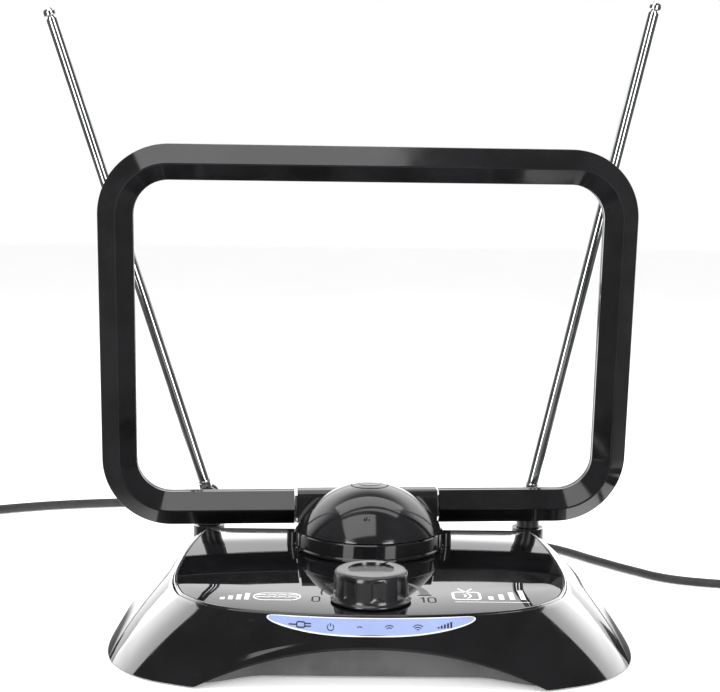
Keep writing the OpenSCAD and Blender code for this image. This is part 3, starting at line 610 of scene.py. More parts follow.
def lens_edge(a, upper):
    """Height of the window's edge, where a goes from -1 at its left end to 1 at its right."""
    a = min(abs(a), 1)
    k = sqrt(1 - a ** 30)
    if upper:
        return LENS_TOP - LENS_END_H * (1 - k)
    return LENS_TOP - LENS_END_H - LENS_H * (0.16 + 0.7 * (1 - a ** 2.7)) * k


def on_front(x, z, out):
    """Point on the front wall, moved out from it."""
    w = flare(z)
    return (x, front_y(x / mix(DECK_CREASE[0], FOOT_CREASE[0], w), w) - out, z)


def lens_outline():
    """The rim's outer and inner edge as points (x, z), along the bottom and back along the top."""
    half = LENS_STEPS / 2
    outer, inner = [], []
    for i in range(LENS_STEPS):
        up = i >= half
        a = sin(pi * (1.5 - i / half if up else i / half - 0.5))
        z = lens_edge(a, up)
        middle = (lens_edge(a, False) + lens_edge(a, True)) / 2
        inward = mix(-0.38 if up else 0.6, 0, min(abs(a), 1) ** 10)
        outer.append((a * LENS_HALF, z))
        inner.append((a * (LENS_HALF - RIM_W), z + inward if abs(z - middle) > 0.4 else middle))
    return outer, inner


def rim_out(q):
    """How far the rim stands out of the wall, from its outer edge at 0 to its inner one at 1."""
    if q == 0:
        return -0.6
    if q == 1:
        return 0.14
    return 0.12 + 0.3 * sin(pi * q) ** 0.6


def make_lens_rim(outer, inner):
    rows = [[on_front(mix(o[0], c[0], q), mix(o[1], c[1], q), rim_out(q)) for o, c in zip(outer, inner)]
            for q in (0, 0.12, 0.3, 0.5, 0.7, 0.88, 1)]
    verts, faces = grid(rows)
    obj = build("lens_rim", verts, faces, "base", sharp=70)
    return obj


def make_lens_face(inner, bands=8):
    n = len(inner)
    rows = []
    for b in range(bands + 1):
        w = b / bands
        row = []
        for i in range(n // 2 + 1):
            low, high = inner[i % n], inner[(n - i) % n]
            x, z = mix(low[0], high[0], w), mix(low[1], high[1], w)
            row.append(on_front(x, z, 0.16 + 0.1 * sin(pi * w)))
        rows.append(row)
    verts, faces = grid(rows, closed=False)
    obj = build("lens_face", verts, faces, "base", sharp=70)
    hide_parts("indicator_lens")
    return obj


def plug_icon(x, z):
    """A small plug with its lead and two pins."""
    body, flex = round_box(x - 0.4, z, 3.2, 2.0, 0.6), line(x - 5.2, z, x - 2.0, z)
    pins = [(line(x + 1.3, z + dz, x + 3.6, z + dz), 0.42) for dz in (0.5, -0.5)]
    return [(body, 0.45, True), (flex, 0.42), *pins]


def lens_icons():
    """From the left: a plug, a power sign, one, two and three waves, and rising bars."""
    z = 25.5
    strokes = plug_icon(-27.2, 26.0)
    strokes += [(arc(-15.9, z - 0.1, 1.25, 125, 415, 28), 0.3),
                (line(-15.9, z + 0.1, -15.9, z + 1.45), 0.3)]
    strokes.append((arc(-4.5, z - 1.2, 1.5, 50, 130, 10), 0.32))
    strokes += [(arc(7.0, z - 1.4, r, 45, 135, 14), 0.32) for r in (1.4, 2.3)]
    strokes += [(arc(18.3, z - 1.5, r, 42, 138, 16), 0.32) for r in (0.7, 1.6, 2.5)]
    for i in range(5):
        x = 26.4 + 1.25 * i
        strokes.append((line(x, z - 0.5, x, z + 0.1 + 0.42 * i), 0.7))
    return strokes


lens_outer, lens_inner = lens_outline()
rim = make_lens_rim(lens_outer, lens_inner)
lens_face = make_lens_face(lens_inner)
icons = printed("lens_icons", lens_icons(), lambda x, z: on_front(x, z, 0.33))


# ---- gain knob: a fluted grip on a thin flange, with a shallow dish and a pointer notch ----

KNOB_FOOT = BASE_H + 0.5
KNOB_H = 12.8
GRIP_R, FLUTES = 15.1, 8
FLUTE_TURN = radians(-80.3)
FLUTE_HALF, FLUTE_DEPTH = 2.85, 0.95
POINTER_TURN = FLUTE_TURN + radians(135)
POINTER_HALF, POINTER_DEPTH = 0.62, 1.25
DISH_R, DISH_DEPTH, DISH_SLOPE = 9.2, 0.35, 0.065


def flute_depth(a, z):
    """How deep a flute is cut at an angle and a height."""
    pitch = 2 * pi / FLUTES
    off = abs((a - FLUTE_TURN + pitch / 2) % pitch - pitch / 2) * GRIP_R
    if off >= FLUTE_HALF:
        return 0
    top = KNOB_FOOT + KNOB_H
    fade = step(KNOB_FOOT + 2.6, KNOB_FOOT + 3.6, z) * (1 - step(top - 2.6, top - 1.3, z))
    return FLUTE_DEPTH * (1 - (off / FLUTE_HALF) ** 2) ** 0.7 * fade


def knob_shape(r, a, z):
    top = KNOB_FOOT + KNOB_H
    if z > KNOB_FOOT + 2.5 and r > 12.2:
        r -= flute_depth(a, z)
    if r < DISH_R and z > KNOB_FOOT + 10:
        z = min(z, top - DISH_DEPTH - r * sin(a) * DISH_SLOPE)
    along, across = cos(a - POINTER_TURN), r * sin(a - POINTER_TURN)
    if z > KNOB_FOOT + 9 and 8.3 < r < 12 and along > 0 and abs(across) < POINTER_HALF:
        z = min(z, top - POINTER_DEPTH)
    return r, z


def make_knob():
    top = KNOB_FOOT + KNOB_H
    bore = [(0.01, 8.5), (3.1, 8.5), (3.1, 3.2), (9, 3.2), (9, 0)]
    flange = [(15.6, 0), (16.2, 0.12), (16.45, 0.4), (16.5, 0.7), (16.4, 1), (16.1, 1.3), (15.75, 1.6)]
    grip = [(15.5, 2), (15.38, 2.6), (15.33, 3.2), (15.3, 3.8), (15.27, 4.6), (15.22, 6), (15.16, 7.8),
            (GRIP_R, 9.2)]
    shoulder = [(15.05, 2.7), (15.0, 2.1), (14.9, 1.6), (14.7, 1.1), (14.4, 0.68), (13.95, 0.35),
                (13.4, 0.14), (12.7, 0.03)]
    flat = (12.1, 11.4, 10.8, 10.2, 9.7, 9.35, 9.15, 8.9, 8.2, 7, 5, 3, 1.2, 0.01)
    profile = [(r, KNOB_FOOT + h) for r, h in bore + flange + grip]
    profile += [(r, top - drop) for r, drop in shoulder]
    profile += [(r, top) for r in flat]
    place = Matrix.Translation((KNOB[0], KNOB[1], 0))
    obj = lathe("gain_knob_cap", profile, "knob", matrix=place, n=360, shape=knob_shape, sharp=42)
    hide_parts("gain_knob")
    return obj


knob = make_knob()


# ---- hub dome: a spherical cover, cut flat behind, with a small dimple in front ----

AT_HUB = Matrix.Translation((0, HUB[1], 0)) @ Matrix.Rotation(radians(HUB_TURN), 4, "Z")
DOME_R, DOME_Z, DOME_LOW = 38.3, BASE_H - 8.5, 38.6
DOME_HOLE_R = 8.78
DOME_BACK_Y = 9.95
DOME_WALL = 1.6
DIMPLE = Vector((-3.41, -27.13, 48.32))
DIMPLE_R, DIMPLE_DEPTH = 1.35, 0.55


def on_dome(a):
    """Point (r, z) of the sphere at an angle from its top."""
    return DOME_R * sin(a), DOME_Z + DOME_R * cos(a)


def dome_profile(steps=80):
    first, last = asin(DOME_HOLE_R / DOME_R), acos((DOME_LOW + 0.25 - DOME_Z) / DOME_R)
    hole_z, low_r = on_dome(first)[1], on_dome(last)[0]
    profile = [(DOME_HOLE_R - 0.03, hole_z - 2.2), (DOME_HOLE_R - 0.03, hole_z - 0.3),
               (DOME_HOLE_R + 0.08, hole_z - 0.08)]
    profile += [on_dome(mix(first + 0.008, last, i / steps)) for i in range(steps + 1)]
    profile += [(low_r - 0.05, DOME_LOW + 0.08), (low_r - 0.25, DOME_LOW), (low_r - 2.2, DOME_LOW)]
    return profile


def dome_shape(r, a, z):
    """The sphere with its dimple pressed in."""
    off = (Vector((r * cos(a), r * sin(a), z)) - DIMPLE).length
    k = DIMPLE_DEPTH * max(0, 1 - (off / DIMPLE_R) ** 2) / DOME_R
    return r * (1 - k), z - k * (z - DOME_Z)


def make_dome():
    obj = lathe("hub_dome_cover", dome_profile(), None, n=420, shape=dome_shape, sharp=35)
    bm = bmesh.new()
    bm.from_mesh(obj.data)
    bmesh.ops.bisect_plane(bm, geom=bm.verts[:] + bm.edges[:] + bm.faces[:],
                           plane_co=(0, DOME_BACK_Y * MM, 0), plane_no=(0, 1, 0), clear_outer=True)
    place = AT_HUB.copy()
    place.translation *= MM
    bm.transform(place)
    bm.to_mesh(obj.data)
    bm.free()
    obj.data.shade_smooth()
    obj.data.set_sharp_from_angle(angle=radians(35))
    m = obj.modifiers.new("wall", "SOLIDIFY")
    m.thickness = DOME_WALL * MM
    m.offset = -1
    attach(obj, "hub")
    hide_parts("hub_dome")
    return obj


dome = make_dome()


# ---- loop: the bevelled front of its rail, swept from one cut end round to the other ----

LEAN = 5.65
LOOP_W, LOOP_H, CORNER = 254, 182, 33
RAIL_END = 35.2
RAIL_W, RAIL_FRONT, RAIL_BACK = 16.4, 7.5, -1.5
TILT_AT = (0, 16, 45)
LOOP_LOW = -8.2
AT_LOOP = (AT_HUB @ Matrix.Translation(TILT_AT) @ Matrix.Rotation(radians(90 + LEAN), 4, "X")
           @ Matrix.Translation((0, LOOP_LOW, 0)))


def round_section(points, radii, n=5):
    """Section outline with each corner rounded, and a support point close to each end of a rounding."""
    support = 0.12
    out = []
    for i, (p, r) in enumerate(zip(points, radii)):
        p = Vector(p)
        a = (Vector(points[i - 1]) - p).normalized()
        b = (Vector(points[(i + 1) % len(points)]) - p).normalized()
        half = acos(max(-1, min(1, a.dot(b)))) / 2
        d = r / tan(half)
        centre = p + (a + b).normalized() * r / sin(half)
        start, end = p + a * d, p + b * d
        first, last = start - centre, end - centre
        a0 = atan2(first.y, first.x)
        turn = (atan2(last.y, last.x) - a0 + pi) % (2 * pi) - pi
        out.append(tuple(start + a * support))
        out += [(centre.x + r * cos(a0 + turn * k / n), centre.y + r * sin(a0 + turn * k / n))
                for k in range(n + 1)]
        out.append(tuple(end + b * support))
    return out


def loop_path():
    """Points on the outer outline with their inward directions, from one cut end round to the other."""
    w, h, r = LOOP_W / 2, LOOP_H, CORNER
    out = []

    def run(x0, y0, x1, y1, nx, ny, n):
        for i in range(n + 1):
            out.append((Vector((mix(x0, x1, i / n), mix(y0, y1, i / n))), Vector((nx, ny))))

    def turn(cx, cy, a0, n=36):
        for i in range(1, n):
            a = radians(a0 - 90 * i / n)
            d = Vector((cos(a), sin(a)))
            out.append((Vector((cx, cy)) + d * r, -d))

    run(-RAIL_END, 0, -(w - r), 0, 0, 1, 8)
    turn(-(w - r), r, 270)
    run(-w, r, -w, h - r, 1, 0, 12)
    turn(-(w - r), h - r, 180)
    run(-(w - r), h, w - r, h, 0, -1, 16)
    turn(w - r, h - r, 90)
    run(w, h - r, w, r, -1, 0, 12)
    turn(w - r, r, 0)
    run(w - r, 0, RAIL_END, 0, 0, 1, 8)
    return out


def make_loop_front():
    section = round_section([(0.1, RAIL_BACK), (RAIL_W - 0.1, RAIL_BACK), (RAIL_W, 0.6), (8.69, RAIL_FRONT),
                             (0, 0.6)], [0.25, 0.25, 0.45, 0.7, 0.45])
    rows = [[tuple((p + d * v).to_3d() + Vector((0, 0, out))) for v, out in section]
            for p, d in loop_path()]
    verts, faces = grid(rows)
    obj = build("loop_front_cover", verts, faces, "loop", sharp=40, matrix=AT_LOOP,
                fill=end_loops(verts, len(section)))
    even_normals(obj, 90)
    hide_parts("loop_front")
    return obj


loop_front = make_loop_front()


# ---- power adapter, and the boots on the leads ----

ADAPTER_X, ADAPTER_Y = 255.3, 140
ADAPTER_W, ADAPTER_D, ADAPTER_H = 44, 60, 28
ADAPTER_EDGE = 3.2
SEAM_LEVELS = [(13.6, 0), (13.75, 0.08), (13.8, 0.55), (14.2, 0.55), (14.25, 0.08), (14.4, 0)]


def make_adapter():
    """A box with rounded edges and a seam round its middle, as levels (z, inset)."""
    edge = []
    for deg in (0, 15, 30, 45, 60, 75, 90):
        a = radians(deg)
        edge.append((ADAPTER_EDGE * (1 - cos(a)), ADAPTER_EDGE * (1 - sin(a))))
    levels = edge + SEAM_LEVELS + [(ADAPTER_H - z, inset) for z, inset in reversed(edge)]
    rows = []
    for z, inset in levels:
        outline = round_box(ADAPTER_X, ADAPTER_Y + ADAPTER_D / 2, ADAPTER_W - 2 * inset,
                            ADAPTER_D - 2 * inset, max(4.5 - inset, 1))
        rows.append([(x, y, z) for x, y in outline])
    verts, faces = grid(rows)
    obj = build("power_adapter_case", verts, faces, "base", sharp=40, fill=end_loops(verts, len(rows[0])))
    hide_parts("power_adapter")
    return obj


def boot(name, at, axis, profile, ribs, node=None):
    """Turned strain relief along Y from a list of (y, radius); ribs are the y where it is cut in."""
    points = []
    for (ya, ra), (yb, rb) in zip(profile, profile[1:]):
        n = max(2, int(abs(yb - ya) / 0.35))
        for i in range(n):
            y, r = mix(ya, yb, i / n), mix(ra, rb, i / n)
            cut = max(max(0, 1 - ((y - rib) / 0.75) ** 2) for rib in ribs)
            points.append((max(r - 0.6 * cut, 0.05), y))
    points.append((profile[-1][1], profile[-1][0]))
    place = Matrix.Translation(at) @ Matrix.Rotation(radians(-90 * axis), 4, "X")
    obj = lathe(name, points, "base", matrix=place, n=64, sharp=38)
    if node:
        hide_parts(node)
    return obj


adapter = make_adapter()
coax_boot = boot("coax_boot", (-20, 0, 12), 1,
                 [(68, 0.05), (68, 6), (71.2, 6), (71.4, 4.1), (77.4, 4.1), (77.5, 5.3), (77.9, 5.6),
                  (80.2, 5.6), (80.6, 5.3), (81.4, 4.6), (103.6, 3.25), (104, 3.0), (104, 0.05)],
                 [84.5, 87.5, 90.5, 93.5, 96.5, 99.5], "coax_gland")
power_boot = boot("power_plug_boot", (45, 0, 12), 1,
                  [(66, 0.05), (66, 2.75), (77.5, 2.75), (77.55, 4.6), (78, 5), (95.4, 5), (96, 4.6),
                   (96.2, 4.3), (107.6, 2.75), (108, 2.5), (108, 0.05)],
                  [84, 86.5, 89, 91.5, 98.5, 101, 103.5], "power_plug")
adapter_boot = boot("adapter_boot", (255.3, 0, 8), -1,
                    [(-140.6, 0.05), (-140.6, 4.7), (-140, 4.7), (-124.4, 2.95), (-124, 2.7), (-124, 0.05)],
                    [-137, -134.5, -132, -129.5, -127], None)


# ---- materials ----

class Nodes:
    """Short ways to add the nodes of one tree and link them."""

    def __init__(self, tree):
        self.tree = tree

    def link(self, output, socket):
        self.tree.links.new(output, socket)

    def node(self, kind, **values):
        n = self.tree.nodes.new("ShaderNode" + kind)
        for k, v in values.items():
            setattr(n, k, v)
        return n

    def remap(self, value, a, b, low, high):
        """Smooth step from low where the value is a to high where it is b."""
        n = self.node("MapRange", interpolation_type="SMOOTHSTEP")
        for k, v in (("From Min", a), ("From Max", b), ("To Min", low), ("To Max", high)):
            n.inputs[k].default_value = v
        self.link(value, n.inputs["Value"])
        return n.outputs["Result"]

    def math(self, operation, a, b=0.0):
        n = self.node("Math", operation=operation)
        for i, v in enumerate((a, b)):
            if isinstance(v, (int, float)):
                n.inputs[i].default_value = v
            else:
                self.link(v, n.inputs[i])
        return n.outputs[0]

    def times(self, a, b):
        return self.math("MULTIPLY", a, b)

    def plus(self, a, b):
        return self.math("ADD", a, b)

    def facing(self, x, y):
        """From -1 straight in front of the model to 1 straight behind it."""
        flat = self.math("SQRT", self.plus(self.times(x, x), self.times(y, y)))
        return self.math("DIVIDE", y, self.math("MAXIMUM", flat, 0.001))


class Look(Nodes):
    """Procedural material: colour, roughness and relief each vary over the surface."""

    def __init__(self, name, dark, light, rough, scale, metallic=0.0, coat=0.0):
        self.material = bpy.data.materials.new(name)
        self.material.use_nodes = True
        super().__init__(self.material.node_tree)
        self.shader = self.tree.nodes["Principled BSDF"]
        self.shader.inputs["Metallic"].default_value = metallic
        self.shader.inputs["IOR"].default_value = 1.5
        self.shader.inputs["Coat Weight"].default_value = coat
        self.shader.inputs["Coat Roughness"].default_value = 0.04
        self.place = self.node("TexCoord").outputs["Object"]
        self.height = None
        cloud = self.noise(scale, 5, 0.6)
        self.color = self.blend(cloud, (*dark, 1), (*light, 1), 0.35, 0.65)
        self.rough = self.remap(self.noise(scale * 2.3, 6, 0.65), 0.3, 0.7, rough[0], rough[1])

    def stretched(self, scale, turn):
        n = self.node("Mapping")
        n.inputs["Scale"].default_value = scale
        n.inputs["Rotation"].default_value = [radians(v) for v in turn]
        self.link(self.place, n.inputs["Vector"])
        return n.outputs["Vector"]

    def noise(self, scale, detail, rough, place=None):
        n = self.node("TexNoise")
        n.inputs["Scale"].default_value = scale
        n.inputs["Detail"].default_value = detail
        n.inputs["Roughness"].default_value = rough
        self.link(place or self.place, n.inputs["Vector"])
        return n.outputs["Fac"]

    def blend(self, amount, a, b, low=0.0, high=1.0):
        n = self.node("Mix", data_type="RGBA")
        self.link(self.remap(amount, low, high, 0, 1), n.inputs["Factor"])
        for socket, v in ((n.inputs["A"], a), (n.inputs["B"], b)):
            if isinstance(v, tuple):
                socket.default_value = v
            else:
                self.link(v, socket)
        return n.outputs["Result"]

    def scuffs(self, amount, scale, turn, more, tint):
        """Hairline scratches along one way: they dull the shine, and lighten the colour a little."""
        lines = self.remap(self.noise(1.0, 3, 0.6, self.stretched(scale, turn)), 0.66, 0.72, 0, 1)
        patches = self.remap(self.noise(28, 3, 0.5), 0.45, 0.65, 0, 1)
        mask = self.times(lines, patches)
        self.rough = self.plus(self.rough, self.times(mask, more))
        self.color = self.blend(self.times(mask, amount), self.color, (*tint, 1))
        return self

    def relief(self, scale, strength, distance):
        """Fine bumps, on top of those that are there already."""
        n = self.node("Bump")
        n.inputs["Strength"].default_value = strength
        n.inputs["Distance"].default_value = distance
        self.link(self.noise(scale, 3, 0.5), n.inputs["Height"])
        if self.height is not None:
            self.link(self.height, n.inputs["Normal"])
        self.height = n.outputs["Normal"]
        return self

    def wear(self, tint, low, high, amount):
        """Edges rubbed lighter and duller by handling."""
        edges = self.remap(self.node("NewGeometry").outputs["Pointiness"], low, high, 0, amount)
        patches = self.remap(self.noise(240, 4, 0.6), 0.35, 0.65, 0.2, 1)
        worn = self.times(edges, patches)
        self.color = self.blend(worn, self.color, (*tint, 1))
        self.rough = self.plus(self.rough, self.times(worn, 0.1))
        return self

    def done(self, **sockets):
        """Link everything up; sockets are further values of the shader, with _ for a space."""
        self.link(self.color, self.shader.inputs["Base Color"])
        self.link(self.rough, self.shader.inputs["Roughness"])
        if self.height is not None:
            self.link(self.height, self.shader.inputs["Normal"])
        for k, v in sockets.items():
            self.shader.inputs[k.replace("_", " ")].default_value = v
        return self.material


def black(name, rough, tone, peel, scratch):
    """Moulded black plastic: tone scales its colour, peel its unevenness, scratch its hairlines."""
    dark = (0.0045 * tone, 0.0045 * tone, 0.005 * tone)
    return (Look(name, dark, tuple(v * 1.9 for v in dark), rough, 35)
            .scuffs(0.4, (25, 700, 700), (0, 0, 20), scratch, (0.03, 0.03, 0.032))
            .relief(520, peel, 3e-5).relief(2600, peel * 0.5, 1e-5))


LOOKS = {
    "gloss": black("moulded_gloss_black", (0.05, 0.11), 1.0, 0.05, 0.08).done(),
    "plate": black("mirror_acrylic", (0.012, 0.035), 0.8, 0.008, 0.05).done(),
    "loop": black("loop_gloss_black", (0.07, 0.13), 1.3, 0.02, 0.05).done(),
    "back": black("loop_satin_black", (0.26, 0.38), 2.2, 0.25, 0.08).relief(3800, 0.3, 4e-5).done(),
    "dome": black("dome_gloss_black", (0.06, 0.11), 1.2, 0.03, 0.1).done(),
    "knob": black("knob_black", (0.16, 0.23), 1.0, 0.06, 0.08).relief(4200, 0.1, 3e-5).done(),
    "skirt": Look("grained_grey", (0.05, 0.05, 0.051), (0.075, 0.075, 0.076), (0.42, 0.56), 45)
    .scuffs(0.3, (30, 600, 600), (0, 0, 10), 0.06, (0.12, 0.12, 0.12))
    .relief(2400, 0.55, 6e-5).relief(700, 0.2, 6e-5).done(),
    "pad": Look("foam_rubber", (0.02, 0.02, 0.021), (0.035, 0.035, 0.036), (0.75, 0.9), 90)
    .relief(3000, 0.9, 0.00012).done(),
    "steel": Look("zinc_steel", (0.22, 0.22, 0.21), (0.34, 0.34, 0.325), (0.24, 0.42), 300, 1.0)
    .scuffs(0.5, (200, 2500, 2500), (0, 0, 40), 0.15, (0.35, 0.34, 0.32)).relief(2600, 0.2, 3e-5).done(),
    "iron": Look("plated_iron", (0.32, 0.33, 0.35), (0.46, 0.47, 0.5), (0.35, 0.55), 120, 1.0)
    .relief(1500, 0.3, 5e-5).done(),
    "guide": Look("clear_guide", (0.75, 0.8, 0.88), (0.85, 0.89, 0.95), (0.08, 0.16), 200)
    .relief(1500, 0.1, 3e-5).done(Transmission_Weight=0.6),
    "led": Look("led_resin", (0.75, 0.75, 0.7), (0.88, 0.88, 0.84), (0.15, 0.3), 600)
    .relief(2500, 0.1, 3e-5).done(),
    "board": Look("board_green", (0.01, 0.09, 0.035), (0.02, 0.14, 0.055), (0.25, 0.4), 260)
    .relief(1200, 0.3, 5e-5).done(),
    "tin": Look("tinned_steel", (0.55, 0.56, 0.57), (0.7, 0.71, 0.72), (0.22, 0.4), 160, 1.0)
    .relief(900, 0.15, 5e-5).done(),
    "nickel": Look("nickel", (0.36, 0.35, 0.33), (0.48, 0.465, 0.435), (0.16, 0.3), 220, 1.0)
    .scuffs(0.5, (2500, 200, 2500), (0, 0, 0), 0.12, (0.45, 0.43, 0.4)).relief(1800, 0.15, 3e-5).done(),
    "chrome": Look("chrome_tube", (0.3, 0.305, 0.31), (0.4, 0.405, 0.41), (0.05, 0.13), 70, 1.0)
    .scuffs(0.5, (1800, 1800, 40), (0, 0, 0), 0.12, (0.5, 0.5, 0.5)).relief(1400, 0.05, 2e-5).done(),
    "foot": Look("foot_nickel", (0.4, 0.4, 0.41), (0.55, 0.55, 0.56), (0.18, 0.32), 200, 1.0)
    .relief(1600, 0.2, 4e-5).done(),
    "cable": Look("pvc_jacket", (0.005, 0.005, 0.0055), (0.012, 0.012, 0.0125), (0.55, 0.7), 150)
    .scuffs(0.4, (500, 500, 60), (0, 0, 0), 0.12, (0.05, 0.05, 0.05)).relief(1500, 0.3, 5e-5).done(),
    "moulding": Look("moulded_boot", (0.012, 0.012, 0.0125), (0.025, 0.025, 0.026), (0.4, 0.55), 200)
    .relief(2200, 0.5, 5e-5).done(),
    "adapter": Look("adapter_case", (0.012, 0.012, 0.013), (0.022, 0.022, 0.023), (0.32, 0.46), 80)
    .wear((0.06, 0.06, 0.06), 0.52, 0.6, 0.5).relief(3200, 0.6, 6e-5).done(),
    "nylon": Look("nylon_washer", (0.02, 0.02, 0.02), (0.035, 0.035, 0.034), (0.4, 0.55), 300)
    .relief(2000, 0.2, 3e-5).done(),
    "copper": Look("copper_strip", (0.55, 0.24, 0.1), (0.72, 0.36, 0.18), (0.2, 0.38), 140, 1.0)
    .relief(900, 0.2, 4e-5).done(),
    # The blue window face also carries a faint painted glow: a weak blue emission of its own, not lit by
    # any lamp.
    "lens": Look("window_blue", (0.29, 0.36, 0.62), (0.33, 0.4, 0.67), (0.18, 0.28), 30, coat=0.3)
    .relief(2200, 0.08, 2e-5).done(Emission_Color=(0.36, 0.46, 0.85, 1), Emission_Strength=0.06),
    "rim": Look("window_rim", (0.8, 0.82, 0.86), (0.92, 0.93, 0.95), (0.12, 0.22), 120)
    .relief(1800, 0.08, 2e-5).done(),
    "ink_dark": Look("ink_navy", (0.006, 0.007, 0.02), (0.014, 0.016, 0.035), (0.35, 0.5), 900)
    .relief(3500, 0.2, 1e-5).done(),
    "ink_grey": Look("ink_grey", (0.012, 0.012, 0.012), (0.03, 0.03, 0.03), (0.5, 0.65), 900)
    .relief(3500, 0.2, 1e-5).done(Specular_IOR_Level=0.1),
    "ink_fill": Look("ink_wedge", (0.05, 0.05, 0.05), (0.09, 0.09, 0.09), (0.4, 0.55), 900)
    .relief(3500, 0.2, 1e-5).done(Specular_IOR_Level=0.6),
    "ink_white": Look("ink_white", (0.72, 0.72, 0.72), (0.86, 0.86, 0.86), (0.4, 0.55), 700)
    .relief(3500, 0.2, 1e-5).done(),
}

SLOT_LOOK = {
    "gloss_black": "gloss", "plate_black": "plate", "satin_black": "back", "dark_grey": "skirt",
    "pad_rubber": "pad", "screw_steel": "steel", "ballast_iron": "iron", "lens_blue": "lens",
    "guide_clear": "guide", "led_white": "led", "board_green": "board", "can_tin": "tin",
    "pot_metal": "iron", "rod_chrome": "chrome", "foot_nickel": "foot", "cable_black": "cable",
    "moulding_black": "moulding", "plug_nickel": "nickel", "element_copper": "copper",
    "washer_nylon": "nylon", "adapter_black": "adapter",
}

BEVELS = {
    0.12: ("fold_pin_left", "fold_pin_right"),
    0.15: ("hub_cap", "loop_washers"),
    0.2: ("lead_ties", "power_socket", "pot_nut"),
    0.25: ("turret_ring", "rod_foot_left", "rod_foot_right", "coax_plug", "loop_back"),
    0.3: ("hub_body", "adapter_blades", "bottom_cover", "base_pad"),
    0.35: ("post_left", "post_right"),
}
SPECIAL = {"hub_body": "loop", "hub_cap": "dome", "turret_ring": "gloss"}
PIECE_LOOK = (
    (housing, "gloss"), (plate, "plate"), (scale_print, "ink_grey"), (wedge_print, "ink_fill"),
    (white_print, "ink_white"), (rim, "rim"), (lens_face, "lens"), (icons, "ink_dark"),
    (knob, "knob"), (dome, "dome"), (loop_front, "loop"), (adapter, "adapter"),
    (coax_boot, "moulding"), (power_boot, "moulding"), (adapter_boot, "moulding"),
    (coax, "cable"), (power, "cable"),
)


def dress(obj, look):
    obj.data.materials.clear()
    obj.data.materials.append(LOOKS[look])


node_slot = {row["node"]: row["material_slot"] for row in frame["record"]["subparts"]}
for name, node in frame["nodes"].items():
    dress(node, SPECIAL.get(name) or SLOT_LOOK[node_slot[name]])
for width, names in BEVELS.items():
    for node in (frame["nodes"][name] for name in names):
        weld = node.modifiers.new("weld", "WELD")
        weld.merge_threshold = 2e-6
        soften(node, width, 38)
for piece, look in PIECE_LOOK:
    dress(piece, look)


# ---- floor and studio: gloss sees a bright back and a dim front, everything else sees white ----

FLOOR_HALF = 9.0
BACK_FROM, BACK_FULL = 0.2, 0.6
FLOOR_GLOW, FLOOR_BACK_GLOW, FLOOR_FRONT_GLOW = 0.22, 2.3, 0.4
FLOOR_LIFT = 0.21
ROOM_GLOW, ROOM_BACK_GLOW = 0.2, 1.9
ROOM_SOFT = 0.85


def make_floor():
    mesh = bpy.data.meshes.new("floor")
    s = FLOOR_HALF
    mesh.from_pydata([(-s, -s, 0), (s, -s, 0), (s, s, 0), (-s, s, 0)], [], [(0, 1, 2, 3)])
    floor = add_object("floor", mesh)
    look = Look("floor_paper", (0.86, 0.86, 0.86), (0.9, 0.9, 0.9), (0.8, 0.9), 3)
    mesh.materials.append(look.relief(300, 0.05, 0.0002).done(Specular_IOR_Level=0.1))
    light_floor(look)


def light_floor(look):
    """Lift the paper a little, and give what mirrors it a floor that is brightest behind."""
    split = look.node("SeparateXYZ")
    look.link(look.place, split.inputs[0])
    facing = look.facing(split.outputs[0], split.outputs[1])
    back = look.times(look.remap(facing, BACK_FROM, BACK_FULL, 0, 1), FLOOR_BACK_GLOW)
    front = look.times(look.remap(facing, -0.95, -0.75, 1, 0), FLOOR_FRONT_GLOW)
    glow = look.node("Emission")
    look.link(look.plus(look.plus(back, front), FLOOR_GLOW), glow.inputs["Strength"])
    lift = look.node("Emission")
    lift.inputs["Strength"].default_value = FLOOR_LIFT
    paper = look.node("AddShader")
    look.link(look.shader.outputs[0], paper.inputs[0])
    look.link(lift.outputs[0], paper.inputs[1])
    pick = look.node("MixShader")
    look.link(look.node("LightPath").outputs["Is Glossy Ray"], pick.inputs[0])
    look.link(paper.outputs[0], pick.inputs[1])
    look.link(glow.outputs[0], pick.inputs[2])
    look.link(pick.outputs[0], look.tree.nodes["Material Output"].inputs["Surface"])


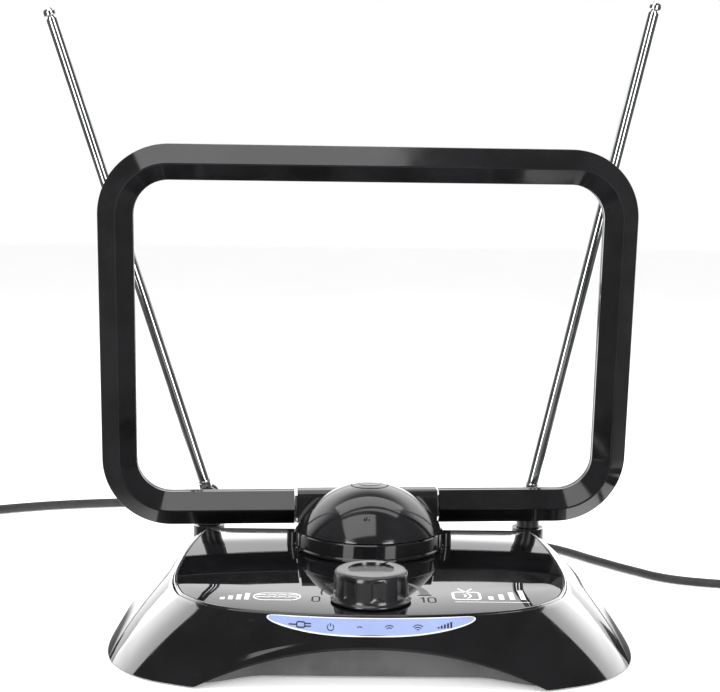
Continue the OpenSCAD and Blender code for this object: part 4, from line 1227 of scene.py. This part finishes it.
def softbox(name, azimuth, elevation, distance, size, radiance, leave_out=(), only=(), roll=0):
    """Rectangular light round the model: azimuth 0 is the front, 90 the right."""
    aim = Vector((0, 0.02, 0.06))
    a, e = radians(azimuth), radians(elevation)
    away = Vector((sin(a) * cos(e), -cos(a) * cos(e), sin(e)))
    light = bpy.data.lights.new(name, "AREA")
    light.shape = "RECTANGLE"
    light.size, light.size_y = size
    light.energy = 4 * size[0] * size[1] * radiance
    obj = add_object(name, light)
    obj.location = aim + away * distance
    turn = (-away).to_track_quat("-Z", "Y").to_matrix() @ Matrix.Rotation(radians(roll), 3, "Z")
    obj.rotation_euler = turn.to_euler()
    obj.visible_camera = False
    if leave_out or only:
        lit = bpy.data.collections.new(name + "_lit")
        for o in only or [o for o in scene.objects if o.type == "MESH" and o not in leave_out]:
            lit.objects.link(o)
        obj.light_linking.receiver_collection = lit
        obj.visible_diffuse = not only


def make_lights():
    """Two strips that streak the round parts, two top lights, and one light for each flank."""
    flat_front = (housing, rim, lens_face, icons, loop_front)
    for name, side in (("left", -1), ("right", 1)):
        softbox("strip_" + name, 33 * side, 18, 1.2, (0.34, 0.9), 8, leave_out=flat_front)
    softbox("top_front", -30, 64, 1.1, (0.84, 0.7), 2.3, roll=30)
    for name, side in (("left", -1), ("right", 1)):
        softbox("side_" + name, 128 * side, 23, 1.2, (1.7, 0.8), 5, only=(housing,))
    softbox("top_back", 180, 74, 1.15, (1.5, 0.6), 2.2)


def make_world():
    """White to the camera and nearly so to matt surfaces; gloss sees a bright band across the back."""
    world = bpy.data.worlds.new("studio")
    scene.world = world
    world.use_nodes = True
    world.cycles.sampling_method = "NONE"
    w = Nodes(world.node_tree)
    split = w.node("SeparateXYZ")
    w.link(w.node("TexCoord").outputs["Generated"], split.inputs[0])
    x, y, z = split.outputs
    behind = w.remap(w.facing(x, y), BACK_FROM, BACK_FULL, 0, 1)
    wall = w.times(behind, w.remap(z, 0.55, 0.85, 1, 0))
    band = w.plus(w.remap(z, 0.235, 0.285, 0.6, 1.2), w.remap(z, 0.06, 0.16, 0.6, 0))
    mirrored = w.plus(w.times(w.times(wall, band), ROOM_BACK_GLOW), ROOM_GLOW)
    path = w.node("LightPath")
    gloss, seen = path.outputs["Is Glossy Ray"], path.outputs["Is Camera Ray"]
    soft = w.plus(w.times(gloss, mirrored), w.times(w.math("SUBTRACT", 1, gloss), ROOM_SOFT))
    strength = w.plus(seen, w.times(w.math("SUBTRACT", 1, seen), soft))
    background = w.tree.nodes["Background"]
    background.inputs["Color"].default_value = (1, 1, 1, 1)
    w.link(strength, background.inputs["Strength"])


make_floor()
make_lights()
make_world()
scene.view_settings.view_transform = "Standard"

bpy.context.view_layer.update()
